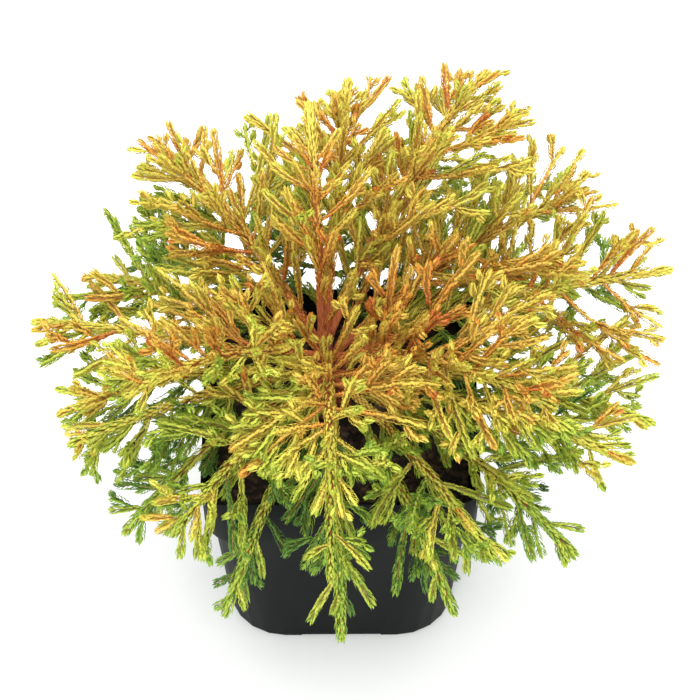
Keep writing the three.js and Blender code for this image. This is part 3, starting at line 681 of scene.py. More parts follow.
def grow_branches(rng, limbs, apart):
    """Branches on the clothed stretch of each limb, long in the middle and short towards the tip."""
    rows, share, hand = places_along(limbs.shoots, apart, "branches")
    share = share + BRANCH_PLACE_SCATTER * (rng.random(len(rows)) - 0.5)
    kept = share > limbs.clothed_from[rows] - CLOTHED_EARLIER
    rows, share, hand = rows[kept], share[kept], hand[kept]
    first = limbs.clothed_from[rows]
    stretch = np.clip((share - first) / (1 - first), 0, 1)
    left = limbs.shoots.lengths()[rows] * (1 - share)
    length = np.interp(stretch, [0, 0.5, 1], BRANCH_LENGTHS) * MM
    length = length * (1 + BRANCH_LENGTH_SCATTER * (rng.random(len(rows)) - 0.5))
    length = np.minimum(length, left * LONGEST_BESIDE_REST + LONGEST_MORE) * limbs.fans[rows]
    angle = spread(rng, rows, np.interp(stretch, [0, 1], BRANCH_ANGLES), BRANCH_ANGLE_SCATTER)
    roll = spread(rng, rows, *HABITS["branches"]["roll"])
    return grow_fitting(rng, "branches", limbs.shoots, rows, share, hand, angle, roll, length)


def grow_upright(rng, kind, limbs, apart):
    """Risers between the branches, or short spurs on the limbs' bare stretch, which close the middle."""
    rows, share, hand = places_along(limbs, apart, kind)
    angle = spread(rng, rows, *HABITS[kind]["angle"])
    roll = spread(rng, rows, *HABITS[kind]["roll"])
    shortest, more = UPRIGHT_LENGTHS[kind]
    length = (shortest + more * rng.random(len(rows))) * MM
    return grow_fitting(rng, kind, limbs, rows, share, hand, angle, roll, length)


def grow_side_shoots(rng, kind, carriers, apart, fans):
    """Branchlets or lobes to both sides of their carriers, shorter towards the carriers' tips."""
    rows, share, hand = places_along(carriers, apart, kind)
    left = carriers.lengths()[rows] * (1 - share)
    of_rest, more, least, most, low, scatter = SIDE_LENGTHS[kind]
    length = np.clip(of_rest * left + more * MM, least * MM, most * MM)
    length = length * (low + scatter * rng.random(len(rows))) * fans[carriers.limb[rows]]
    angle = spread(rng, rows, *HABITS[kind]["angle"])
    roll = spread(rng, rows, *HABITS[kind]["roll"])
    return grow_fitting(rng, kind, carriers, rows, share, hand, angle, roll, length)


def sunlight(points):
    """The share of sun at points: green in the skirt and in front, most golden in the middle of the top."""
    high = smooth_step(points[:, 2], *SUN_HEIGHTS)
    front = smooth_step(-points[:, 1], *SUN_FRONT)
    middle = 1 - smooth_step(mound_share(points), *SUN_MIDDLE)
    top = smooth_step(points[:, 2], *SUN_TOP)
    rim = smooth_step(np.linalg.norm(points[:, :2], axis=1), *SUN_RIM)
    # Painted shade: less sun in front, where the light from behind and above falls least
    sun = USUAL_SUN + HIGH_SUN * high - FRONT_SHADE * front + RIM_SUN * rim
    return sun + middle * mix(*MIDDLE_SUN, top)


def cover(points):
    """How much foliage lies over points, in metres: the crown's height there less their own."""
    cell = np.floor(points[:, :2] / COVER_CELL).astype(int)
    cell = cell - cell.min(0) + 1
    crown = np.zeros(cell.max(0) + 2)
    for x in (-1, 0, 1):
        for y in (-1, 0, 1):
            np.maximum.at(crown, (cell[:, 0] + x, cell[:, 1] + y), points[:, 2])
    return crown[cell[:, 0], cell[:, 1]] - points[:, 2]


@functools.lru_cache(maxsize=1)
def grow_plant(seed, branches_apart, branchlets_apart, lobes_apart, elbow_room):
    """All the shoots of the shrub, order by order, grown by one seeded rule."""
    rng = np.random.default_rng(seed)
    limbs = grow_limbs()
    kinds = {}
    branches = grow_branches(rng, limbs, branches_apart)
    risers = grow_upright(rng, "risers", limbs.shoots, RISERS_APART)
    spurs = grow_upright(rng, "spurs", limbs.shoots, SPURS_APART)
    kinds["branches"] = thinned(rng, joined([branches, risers, spurs]), elbow_room * BRANCH_ELBOW_ROOM)

    # Branchlets on all of these and on the limbs' own tips, and lobes, the last short forks
    tips = tip_stretch(limbs.shoots, TIPS_FROM)
    carriers = joined([kinds["branches"], tips])
    branchlets = grow_side_shoots(rng, "branchlets", carriers, branchlets_apart, np.sqrt(limbs.fans))
    kinds["branchlets"] = thinned(rng, branchlets, elbow_room, carriers)
    even = np.ones(len(limbs.fans))
    kinds["lobes"] = grow_side_shoots(rng, "lobes", kinds["branchlets"], lobes_apart, even)
    kinds["tips"] = tips

    # The sun that each shoot has by its place, less for those that others cover: painted shade that tints
    # covered shoots darker and greener
    everything = joined(list(kinds.values()))
    shade = smooth_step(cover(mix(everything.bend, everything.tip, 0.5)), *COVER_DEPTHS)
    light = sunlight(everything.tip) - COVER_SHADE * shade
    first = 0
    for shoots in kinds.values():
        shoots.sun = shoots.sun + light[first:first + len(shoots)]
        first += len(shoots)
    return kinds


def tip_stretch(limbs, first):
    """The last stretch of each limb as a shoot of its own."""
    rows = np.arange(len(limbs))
    start = limbs.at(rows, np.full(len(rows), first))
    bend = mix(limbs.bend, limbs.tip, first)
    radius = mix(limbs.radius, LIMB_TIP_RADIUS, first)
    return Shoots(start, bend, limbs.tip, limbs.face, radius, limbs.limb, limbs.sun)


# Meshes

def mesh_object(name, points, faces, materials, slots=None, uv=None, smooth=False):
    """A new object in the scene from points and triangles."""
    mesh = bpy.data.meshes.new(name)
    mesh.vertices.add(len(points))
    mesh.vertices.foreach_set("co", np.ascontiguousarray(points, np.float32).ravel())
    mesh.loops.add(faces.size)
    mesh.loops.foreach_set("vertex_index", np.ascontiguousarray(faces, np.int32).ravel())
    mesh.polygons.add(len(faces))
    mesh.polygons.foreach_set("loop_start", np.arange(0, faces.size, 3, dtype=np.int32))
    for material in materials:
        mesh.materials.append(material)
    if slots is not None:
        mesh.polygons.foreach_set("material_index", np.ascontiguousarray(slots, np.int32))
    if uv is not None:
        layer = mesh.uv_layers.new(name="bark")
        layer.data.foreach_set("uv", np.ascontiguousarray(uv, np.float32).ravel())
    mesh.polygons.foreach_set("use_smooth", np.full(len(faces), smooth))
    mesh.update(calc_edges=True)
    piece = bpy.data.objects.new(name, mesh)
    bpy.context.scene.collection.objects.link(piece)
    return piece


def dress(piece, nodes):
    """The piece rides on the plant's one body and stands for the frame's nodes, which it hides."""
    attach(piece, "root")
    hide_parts(*nodes)


def nodes_named(start):
    return sorted(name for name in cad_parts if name.startswith(start))


def rings_to_tube(rings):
    """Points and triangles of closed tubes, from points as tubes by rings by sides by three."""
    tubes, count, sides, _ = rings.shape
    ring, side = np.meshgrid(np.arange(count - 1), np.arange(sides), indexing="ij")
    here = (ring * sides + side).ravel()
    beside = (ring * sides + (side + 1) % sides).ravel()
    walls = np.stack([here, beside, beside + sides, here, beside + sides, here + sides], 1).reshape(-1, 3)
    fan = np.arange(1, sides - 1)
    last = (count - 1) * sides
    foot = np.stack([np.zeros_like(fan), fan + 1, fan], 1)
    top = np.stack([np.full_like(fan, last), last + fan, last + fan + 1], 1)
    return rings.reshape(-1, 3), copies_of(np.concatenate([walls, foot, top]), count * sides, tubes)


def tube_uv(rings, faces):
    """UVs for the triangles of tubes, in centimetres: round the tube and along it."""
    tubes, count, sides, _ = rings.shape
    middles = rings.mean(2)
    steps = np.linalg.norm(np.diff(middles, axis=1), axis=-1)
    along = np.concatenate([np.zeros((tubes, 1)), np.cumsum(steps, 1)], 1) * 100
    girth = np.linalg.norm(rings[:, 0, 0] - middles[:, 0], axis=-1) * 2 * math.pi * 100
    corner = faces % (count * sides)
    tube = faces // (count * sides)
    side = corner % sides
    wraps = (side.max(1) - side.min(1) > 1) & (side.max(1) == sides - 1)
    around = (side + np.where(wraps[:, None] & (side == 0), sides, 0)) / sides
    return np.stack([around * girth[tube], along[tube, corner // sides]], -1).reshape(-1, 2)


def ring_turns(sides):
    """How far round each side of a ring stands."""
    return 2 * math.pi * np.arange(sides) / sides


def lines_along(shoots, count):
    """So many points on each shoot, with its side and the way its face looks, and how far along they lie."""
    shares = np.broadcast_to(np.linspace(0, 1, count), (len(shoots), count))
    rows = np.arange(len(shoots))[:, None]
    side, up = shoots.across(rows, shares)
    return shoots.at(rows, shares), side, up, shares * shoots.lengths()[:, None]


def rings_round(middle, side, up, radius):
    """Rings round lines of points, from a radius for each line, point and side."""
    turn = ring_turns(radius.shape[-1])
    outward = side[:, :, None] * np.cos(turn)[:, None] + up[:, :, None] * np.sin(turn)[:, None]
    return middle[:, :, None] + outward * radius[..., None]


def tube_rings(shoots, count, sides):
    """Rings of points round each shoot, thicker by a collar at its foot and rounded off at its tip."""
    middle, side, up, along = lines_along(shoots, count)
    taper = 1 - (1 - TUBE_TIP) * np.linspace(0, 1, count)
    collar = TUBE_COLLAR * np.exp(-along / TUBE_COLLAR_LENGTH)
    radius = shoots.radius[:, None] * (taper[None, :] + collar)
    radius[:, -1] *= TUBE_END
    return rings_round(middle, side, up, np.repeat(radius[..., None], sides, axis=2))


# Bark relief

def bark_relief(turn, along, phase):
    """Fibrous ridges that run along the bark and low steps where it flakes, from -1 to 1."""
    relief = np.zeros(np.broadcast(turn, along, phase).shape)
    for number, (ridges, wave, weight) in enumerate(BARK_FIBRES):
        drift = 1.4 * np.sin(along / (wave * MM) + phase * (number + 1.7))
        relief += weight * np.sin(ridges * turn + drift + phase * (number + 2.3))
    flake = np.sin(along / BARK_FLAKE_LENGTH + 1.3 * np.sin(2 * turn + phase) + phase * 5)
    return relief + BARK_FLAKES * np.tanh(4 * flake - 1.2)


# Materials

def new_material(name, color, roughness, gloss=None):
    material = bpy.data.materials.new(name)
    material.use_nodes = True
    shader = material.node_tree.nodes["Principled BSDF"]
    shader.inputs["Base Color"].default_value = (*color, 1)
    shader.inputs["Roughness"].default_value = roughness
    if gloss is not None:
        shader.inputs["Specular IOR Level"].default_value = gloss
    return material, shader


def add_node(material, kind, **inputs):
    node = material.node_tree.nodes.new(kind)
    for name, value in inputs.items():
        node.inputs[name.replace("_", " ")].default_value = value
    return node


def link(material, source, output, target, socket):
    material.node_tree.links.new(source.outputs[output], target.inputs[socket])


def add_noise(material, coordinates, scale, detail, stretch=(1, 1, 1)):
    """A noise pattern on the piece's UV or Object coordinates, stretched by a mapping."""
    source = add_node(material, "ShaderNodeTexCoord")
    mapping = add_node(material, "ShaderNodeMapping", Scale=stretch)
    noise = add_node(material, "ShaderNodeTexNoise", Scale=scale, Detail=detail)
    link(material, source, coordinates, mapping, "Vector")
    link(material, mapping, "Vector", noise, "Vector")
    return noise


def color_by(material, shader, noise, stops):
    """Takes the base colour from a ramp of stops, each a place in the noise and its colour."""
    ramp = add_node(material, "ShaderNodeValToRGB")
    elements = ramp.color_ramp.elements
    while len(elements) < len(stops):
        elements.new(0.5)
    for element, (place, color) in zip(elements, stops):
        element.position = place
        element.color = (*color, 1)
    link(material, noise, "Fac", ramp, "Fac")
    link(material, ramp, "Color", shader, "Base Color")


def add_patches(material, shader, noise, kind, color):
    """Dark and pale patches on a plain colour."""
    dark, darker, pale, paler, places = PATCHES[kind]
    colors = (mix_colors(color, dark, darker), color, mix_colors(color, pale, paler))
    color_by(material, shader, noise, list(zip(places, colors)))


def roughness_by(material, shader, noise, least, most):
    roughness = add_node(material, "ShaderNodeMapRange", To_Min=least, To_Max=most)
    link(material, noise, "Fac", roughness, "Value")
    link(material, roughness, "Result", shader, "Roughness")


def bump_by(material, shader, noise, strength, distance):
    bump = add_node(material, "ShaderNodeBump", Strength=strength, Distance=distance)
    link(material, noise, "Fac", bump, "Height")
    link(material, bump, "Normal", shader, "Normal")


def bark_material(name, color, stretch):
    """Fibrous bark: dark furrows, rust ridges and pale worn flakes, drawn out along the limb's UVs."""
    material, shader = new_material(name, color, roughness=0.72)
    fibres = add_noise(material, "UV", scale=14, detail=6, stretch=(1, stretch, 1))
    add_patches(material, shader, fibres, "bark", color)
    bump_by(material, shader, fibres, strength=0.7, distance=0.25 * MM)
    return material


def twig_material(name, color):
    """A young shoot's smooth skin, mottled all over."""
    material, shader = new_material(name, color, roughness=0.58)
    mottle = add_noise(material, "Object", scale=420, detail=3)
    add_patches(material, shader, mottle, "twig", color)
    return material


def plastic_material(color, roughness):
    """Satin black plastic with the fine texture of the mould, faint flow marks and a little dust."""
    material, shader = new_material("pot_plastic_black", color, roughness, gloss=0.05)
    cloud = add_noise(material, "Object", scale=28, detail=5, stretch=(1, 1, 0.35))
    color_by(material, shader, cloud, [(0.42, color), (0.78, mix_colors(color, DUST, DUSTY))])
    roughness_by(material, shader, cloud, roughness - 0.07, roughness + 0.1)
    grain = add_noise(material, "Object", scale=1500, detail=2)
    bump_by(material, shader, grain, strength=0.16, distance=0.05 * MM)
    return material


def soil_material(name, color):
    """Moist compost: dark crumbs with lighter fibres and specks."""
    material, shader = new_material(name, color, roughness=0.93)
    crumbs = add_noise(material, "Object", scale=260, detail=8)
    add_patches(material, shader, crumbs, "soil", color)
    bump_by(material, shader, crumbs, strength=0.8, distance=0.6 * MM)
    return material


# Settings

def color_setting(name, description, *screen):
    """A colour, by default a screen colour of 0 to 255."""
    return FloatVectorProperty(name=name, description=description, subtype="COLOR", default=linear(*screen))


def length_setting(name, description, default, least=0):
    return FloatProperty(name=name, description=description, default=default, min=least, unit="LENGTH")


class PotSettings(PropertyGroup):
    """The pot and the soil in it."""

    edge_rounding: length_setting("Edge rounding", "Radius of the moulded edges", 0.35 * MM)
    plastic: color_setting("Plastic", "Colour of the pot", 7, 11, 10)
    plastic_roughness: FloatProperty(name="Plastic roughness", description="0 is polished, 1 is matt",
                                     default=0.5, min=0, max=1, subtype="FACTOR")
    soil: color_setting("Soil", "Colour of the compost", 42, 31, 24)
    soil_relief: length_setting("Soil relief", "How far the surface rises and falls", 1.1 * MM)
    crumbs: IntProperty(name="Crumbs", description="Loose crumbs on the compost", default=700, min=0)
    crumb_size: length_setting("Crumb size", "Radius of the largest crumbs", 1.6 * MM)


class GrowthSettings(PropertyGroup):
    """How the shrub branches."""

    seed: IntProperty(name="Seed", description="Another seed grows another shrub of the same habit",
                      default=411, min=0)
    branches_apart: length_setting("Branches apart", "Along a limb, both sides counted", 5 * MM, 3 * MM)
    branchlets_apart: length_setting("Branchlets apart", "Along a branch, both sides counted",
                                     6 * MM, 2 * MM)
    lobes_apart: length_setting("Lobes apart", "Along a branchlet, both sides counted", 3.9 * MM, 1 * MM)
    elbow_room: length_setting("Elbow room", "Between the middles or ends of two branchlets", 6.8 * MM)


class BarkSettings(PropertyGroup):
    """The stem, the limbs and the twigs."""

    bark: color_setting("Bark", "Colour of old bark", 118, 56, 34)
    limb: color_setting("Limb bark", "Colour of the limbs", 184, 96, 46)
    # The shaded twigs and shoots are shaded copies of the sunny ones: greener, as the shrub's are in the
    # shade, and darker, as painted shade
    sunny_twig: color_setting("Sunny twigs", "Colour of the branches in the sun", 192, 136, 62)
    shaded_twig: color_setting("Shaded twigs", "Colour of the branches in the shade", 150, 124, 56)
    sunny_shoot: color_setting("Sunny shoots", "Colour of young shoots in the sun", 190, 156, 68)
    shaded_shoot: color_setting("Shaded shoots", "Colour of young shoots in the shade", 106, 118, 50)
    relief: length_setting("Relief", "Depth of the furrows in the bark", 0.22 * MM)
    wander: length_setting("Wander", "How far a limb strays from an even curve", 0.7 * MM)


class LeafSettings(PropertyGroup):
    """The awl leaves and their colours."""

    length: length_setting("Length", "Length of a leaf", 5.8 * MM)
    width: length_setting("Width", "Width of a leaf", 1.4 * MM)
    keel: length_setting("Keel", "Thickness of a leaf", 0.36 * MM)
    pairs_apart: length_setting("Pairs apart", "Between two pairs of leaves", 0.8 * MM, 0.5 * MM)
    # The greens are darker as well as greener: partly the foliage's own colour in the shade, partly painted
    # shade
    deep_green: color_setting("Deep green", "Leaves deep in the shade", 76, 114, 42)
    mid_green: color_setting("Mid green", "Leaves in the shade", 120, 154, 52)
    fresh_green: color_setting("Fresh green", "Leaves at the shade's edge", 158, 175, 60)
    lime: color_setting("Lime", "Leaves in half sun", 184, 192, 72)
    yellow_lime: color_setting("Yellow lime", "Leaves in half sun, yellower", 198, 193, 78)
    yellow_gold: color_setting("Yellow gold", "Leaves in the sun", 204, 186, 76)
    gold: color_setting("Gold", "Leaves in full sun", 205, 170, 72)
    amber: color_setting("Amber", "Leaves on the top of the mound", 205, 146, 58)
    rust_orange: color_setting("Rust orange", "Old leaves on bare twigs", 194, 112, 50)
    axil: color_setting("Axils", "What the leaves' roots turn towards", 143, 86, 27)
    pale: color_setting("Pale tips", "What the leaves' tips turn towards", 217, 210, 127)


class StageSettings(PropertyGroup):
    """The floor, the lights and the camera."""

    floor: FloatVectorProperty(name="Floor", description="Colour of the floor", subtype="COLOR",
                               default=(0.94, 0.96, 0.955))
    sky: FloatProperty(name="Sky light", description="Strength of the even light from all sides",
                       default=1.36)
    softbox: FloatProperty(name="Softbox", description="Power of the large light overhead",
                           default=17, unit="POWER")
    fill: FloatProperty(name="Fill light", description="Power of the low light from the front",
                        default=11.5, unit="POWER")
    distance: length_setting("Camera distance", "From the middle of the pot's rim", 1.43)
    elevation: FloatProperty(name="Camera elevation", description="Angle over the floor",
                             default=math.radians(52), subtype="ANGLE")


# Pieces

class ARBORVITAE_OT_pot(Operator):
    """Round the pot's edges and give it its satin plastic"""

    bl_idname = "arborvitae.pot"
    bl_label = "Pot"

    def execute(self, context):
        settings = context.scene.arborvitae_pot
        piece = copy_of_node("pot", "pot_moulded")
        merge_and(bpy.ops.mesh.dissolve_limited, piece, angle_limit=FLAT_EDGE)
        bpy.ops.object.modifier_add(type="BEVEL")
        bevel = piece.modifiers[-1]
        bevel.width = settings.edge_rounding
        bevel.segments = 2
        bevel.limit_method = "ANGLE"
        bevel.angle_limit = ROUNDED_EDGE
        bpy.ops.object.modifier_apply(modifier=bevel.name)
        bpy.ops.object.shade_smooth_by_angle(angle=HARD_EDGE)
        set_material(piece, plastic_material(tuple(settings.plastic), settings.plastic_roughness))
        dress(piece, ["pot"])
        return {"FINISHED"}


class ARBORVITAE_OT_soil(Operator):
    """Roughen the soil's surface and scatter crumbs on it"""

    bl_idname = "arborvitae.soil"
    bl_label = "Soil"

    def execute(self, context):
        settings = context.scene.arborvitae_pot
        piece = copy_of_node("soil", "soil_block")
        merge_and(bpy.ops.mesh.subdivide, piece, number_cuts=SOIL_CUTS)
        roughen_soil(piece.data, settings.soil_relief)
        bpy.ops.object.shade_smooth()
        set_material(piece, soil_material("compost", tuple(settings.soil)))
        dress(piece, ["soil"])
        crumbs = scatter_crumbs(piece, settings)
        dress(crumbs, ["soil"])
        return {"FINISHED"}


class ARBORVITAE_OT_stem(Operator):
    """Model the short trunk with its root flare and furrowed bark"""

    bl_idname = "arborvitae.stem"
    bl_label = "Stem"

    def execute(self, context):
        settings = context.scene.arborvitae_bark
        material = bark_material("stem_bark", tuple(settings.bark), stretch=0.16)
        piece = bark_object("stem_bark", stem_rings(settings.relief), material)
        dress(piece, ["stem"])
        return {"FINISHED"}


class ARBORVITAE_OT_boughs(Operator):
    """Model the limbs from the stem to their tips, with furrowed rust bark"""

    bl_idname = "arborvitae.boughs"
    bl_label = "Boughs"

    def execute(self, context):
        settings = context.scene.arborvitae_bark
        material = bark_material("limb_bark", tuple(settings.limb), stretch=0.2)
        piece = bark_object("boughs_bark", limb_rings(settings.relief, settings.wander), material)
        dress(piece, nodes_named("bough_"))
        return {"FINISHED"}


class ARBORVITAE_OT_twigs(Operator):
    """Model the branches, branchlets and lobes that carry the leaves"""

    bl_idname = "arborvitae.twigs"
    bl_label = "Twigs"

    def execute(self, context):
        settings = context.scene.arborvitae_bark
        plant = plant_from_settings(context.scene)
        for name, kinds in TUBES.items():
            # Each kind is split by its share of sun into a sunny copy and a darker shaded copy, partly
            # painted shade
            for place, lit in (("sunny", True), ("shaded", False)):
                color = tuple(getattr(settings, f"{place}_{name}"))
                rings = []
                for kind, count, sides in kinds:
                    shoots = plant[kind].rows((plant[kind].sun >= SUNNY_FROM) == lit)
                    rings.append(tube_rings(shoots, count, sides))
                add_twigs(f"{name}s_{place}", rings, twig_material(f"{place}_{name}", color))
        return {"FINISHED"}


class ARBORVITAE_OT_needles(Operator):
    """Set the awl leaves on all the shoots, in tints from shaded green to sunlit gold"""

    bl_idname = "arborvitae.needles"
    bl_label = "Needles"

    def execute(self, context):
        settings = context.scene.arborvitae_leaf
        leaves = plant_leaves(plant_from_settings(context.scene), settings)
        ends = [end for _, end, _ in TINTS]
        tint_of_leaf = np.digitize(leaves["sun"], ends[:-1])
        for number, (tint, _, slot) in enumerate(TINTS):
            color = tuple(getattr(settings, tint))
            rusty = mix_colors(color, tuple(settings.axil), RUSTIEST_ROOT * (number / len(TINTS)))
            pale = mix_colors(color, tuple(settings.pale), PALE_TIP)
            root, _ = new_material(f"leaf_{tint}", rusty, ROOT_ROUGHNESS, gloss=LEAF_GLOSS)
            tip, _ = new_material(f"leaf_{tint}_tip", pale, TIP_ROUGHNESS, gloss=LEAF_GLOSS)
            chosen = np.flatnonzero(tint_of_leaf == number)
            parts = math.ceil(len(chosen) * TRIANGLES_PER_LEAF / MOST_TRIANGLES)
            for part, rows in enumerate(np.array_split(chosen, max(1, parts))):
                if len(rows) == 0:
                    continue
                some = {name: values[rows] for name, values in leaves.items()}
                points, faces, slots = leaf_mesh(some, settings.keel)
                name = f"needles_{tint}_{part + 1}"
                piece = mesh_object(name, points, faces, [root, tip], slots=slots)
                dress(piece, nodes_named("mass_"))
        return {"FINISHED"}


class ARBORVITAE_OT_stage(Operator):
    """Lay the pale floor, hang the soft lights and place the camera"""

    bl_idname = "arborvitae.stage"
    bl_label = "Stage"

    def execute(self, context):
        settings = context.scene.arborvitae_stage
        add_floor(tuple(settings.floor))
        add_lights(settings)
        add_camera(settings)
        context.scene.view_settings.view_transform = "Standard"
        return {"FINISHED"}


# What the operators use

def select_only(piece):
    bpy.ops.object.select_all(action="DESELECT")
    piece.hide_viewport = False
    piece.select_set(True)
    bpy.context.view_layer.objects.active = piece


def copy_of_node(node, name):
    """A copy of a frame node with its own mesh, free of its body."""
    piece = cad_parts[node].copy()
    piece.data = piece.data.copy()
    piece.name = name
    piece.data.name = name
    piece.parent = None
    for key in list(piece.keys()):
        del piece[key]
    bpy.context.scene.collection.objects.link(piece)
    return piece


def merge_and(operator, piece, **options):
    """Merges the piece's doubled points and runs one more mesh operator on all of it."""
    select_only(piece)
    bpy.ops.object.mode_set(mode="EDIT")
    bpy.ops.mesh.select_all(action="SELECT")
    bpy.ops.mesh.remove_doubles(threshold=DOUBLES_WITHIN)
    operator(**options)
    bpy.ops.object.mode_set(mode="OBJECT")


def set_material(piece, material):
    piece.data.materials.clear()
    piece.data.materials.append(material)


def mesh_points(mesh):
    points = np.empty(len(mesh.vertices) * 3, np.float32)
    mesh.vertices.foreach_get("co", points)
    return points.reshape(-1, 3).astype(float)


def set_mesh_points(mesh, points):
    mesh.vertices.foreach_set("co", np.ascontiguousarray(points, np.float32).ravel())
    mesh.update()


def roughen_soil(mesh, relief):
    """Raises and lowers the soil's upper face, but not where it meets the pot or carries the stem."""
    points = mesh_points(mesh)
    x, y = points[:, 0] / MM, points[:, 1] / MM
    lumps = np.sin(x * 0.9 + 1.7 * np.sin(y * 0.5)) * np.cos(y * 0.8 + 1.3 * np.sin(x * 0.6))
    grains = np.sin(x * 2.3 + y * 1.1) * np.sin(y * 2.7 - x * 0.7)
    away = np.linalg.norm(points[:, :2] - STEM_FOOT[:2], axis=1)
    edge = np.abs(points[:, :2]).max(1)
    free = smooth_step(away, FLARE_RADIUS, 2 * FLARE_RADIUS) * (1 - smooth_step(edge, *SOIL_FLATTENS))
    rise = relief * free * (SOIL_LUMPS * lumps + SOIL_GRAINS * grains - SOIL_SINKS)
    points[:, 2] += np.where(points[:, 2] > SOIL_LEVEL - SOIL_SURFACE, rise, 0)
    set_mesh_points(mesh, points)


def scatter_crumbs(soil, settings):
    """Loose crumbs of compost, each a dented ball of a few faces, half sunk in the surface."""
    bpy.ops.object.select_all(action="DESELECT")
    bpy.ops.mesh.primitive_ico_sphere_add(subdivisions=1, radius=1)
    ball = bpy.context.active_object
    shape = mesh_points(ball.data)
    faces = np.array([list(face.vertices) for face in ball.data.polygons])
    bpy.data.objects.remove(ball)
    rng = np.random.default_rng(CRUMB_SEED)
    count = settings.crumbs
    surface = mesh_points(soil.data)
    surface = surface[surface[:, 2] > SOIL_LEVEL - CRUMB_SURFACE]
    inner = np.abs(surface[:, :2]).max(1) < SOIL_FLATTENS[0]
    away = np.linalg.norm(surface[:, :2] - STEM_FOOT[:2], axis=1) > FLARE_RADIUS * CRUMBS_FROM_STEM
    places = rng.choice(surface[inner & away], count)
    places = places + (rng.random((count, 3)) - 0.5) * CRUMB_STRAYS
    size = settings.crumb_size * mix(SMALLEST_CRUMB, 1, rng.random((count, 1, 1)) ** 2)
    least = 1 - CRUMB_UNEVENNESS / 2
    squash = CRUMB_FLATNESS * (least + CRUMB_UNEVENNESS * rng.random((count, 1, 3)))
    dents = least + CRUMB_UNEVENNESS * rng.random((count, len(shape), 1))
    points = places[:, None, :] + shape[None] * dents * squash * size
    points[:, :, 2] = np.maximum(points[:, :, 2], places[:, None, 2] - CRUMB_SINKS)
    color = mix_colors(tuple(settings.soil), DRY_CRUMB, CRUMB_DRYNESS)
    material = soil_material("compost_crumbs", color)
    all_faces = copies_of(faces, len(shape), count)
    return mesh_object("soil_crumbs", points.reshape(-1, 3), all_faces, [material], smooth=True)


def bark_object(name, rings, material):
    """A piece of tubes with UVs for its bark."""
    points, faces = rings_to_tube(rings)
    return mesh_object(name, points, faces, [material], uv=tube_uv(rings, faces), smooth=True)


def stem_rings(relief):
    """One tube of rings round the stem, with three root lobes at its flat foot."""
    shares = np.linspace(0, 1, STEM_RINGS)
    middle = stem_point(shares[:, None])
    turn = ring_turns(STEM_SIDES)
    height = middle[:, 2] - STEM_FOOT[2]
    flare = np.maximum(0, 1 - height / FLARE_HEIGHT) ** 2
    bare = mix(STEM_RADIUS, STEM_TIP_RADIUS, shares)
    lobe = 1 + FLARE_LOBE_DEPTH * np.cos(FLARE_LOBES * turn)
    radius = bare[:, None] + (flare * (FLARE_RADIUS - bare))[:, None] * lobe[None, :]
    radius += relief * STEM_RELIEF * bark_relief(turn[None, :], height[:, None], 0.7)
    radius *= np.sqrt(1 - np.clip((shares - STEM_DOME_FROM) / STEM_DOME, 0, 0.98)[:, None] ** 2)
    rings = np.empty((1, STEM_RINGS, STEM_SIDES, 3))
    rings[0, :, :, 0] = middle[:, :1] + radius * np.cos(turn)
    rings[0, :, :, 1] = middle[:, 1:2] + radius * np.sin(turn)
    rings[0, :, :, 2] = middle[:, 2:3]
    rings[0, 0, :, 2] += CLEARANCE
    return rings


def limb_rings(relief, wander):
    """A tube of rings round each limb from the stem to its tip, with bark relief and a slight wander."""
    limbs = grow_limbs().shoots
    middle, side, up, along = lines_along(limbs, LIMB_RINGS)
    shares = np.linspace(0, 1, LIMB_RINGS)
    phase = 1.9 * np.arange(len(limbs))[:, None]
    free = np.sin(math.pi * shares)[None, :]
    sway = wander * free * np.sin(along / SWAY_WAVE + phase)
    lift = wander * free * np.sin(along / LIFT_WAVE + 2.2 * phase)
    middle = middle + side * column(sway) + up * column(lift)
    radius = mix(LIMB_TIP_RADIUS, limbs.radius[:, None], (1 - shares) ** LIMB_THINNING)
    collar = 1 + LIMB_COLLAR * np.exp(-along / LIMB_COLLAR_LENGTH)
    depth = relief * np.minimum(1, radius / FULL_RELIEF_RADIUS)
    turn = ring_turns(LIMB_SIDES)
    bark = bark_relief(turn[None, None, :], along[:, :, None], phase[:, :, None])
    return rings_round(middle, side, up, (radius * collar)[:, :, None] + depth[:, :, None] * bark)


def plant_from_settings(scene):
    growth = scene.arborvitae_growth
    return grow_plant(growth.seed, growth.branches_apart, growth.branchlets_apart, growth.lobes_apart,
                      growth.elbow_room)


def add_twigs(name, groups, material):
    """One piece of tubes from several groups of rings."""
    points, faces, count = [], [], 0
    for rings in groups:
        tube_points, tube_faces = rings_to_tube(rings)
        points.append(tube_points)
        faces.append(tube_faces + count)
        count += len(tube_points)
    piece = mesh_object(name, np.concatenate(points), np.concatenate(faces), [material], smooth=True)
    dress(piece, nodes_named("mass_"))


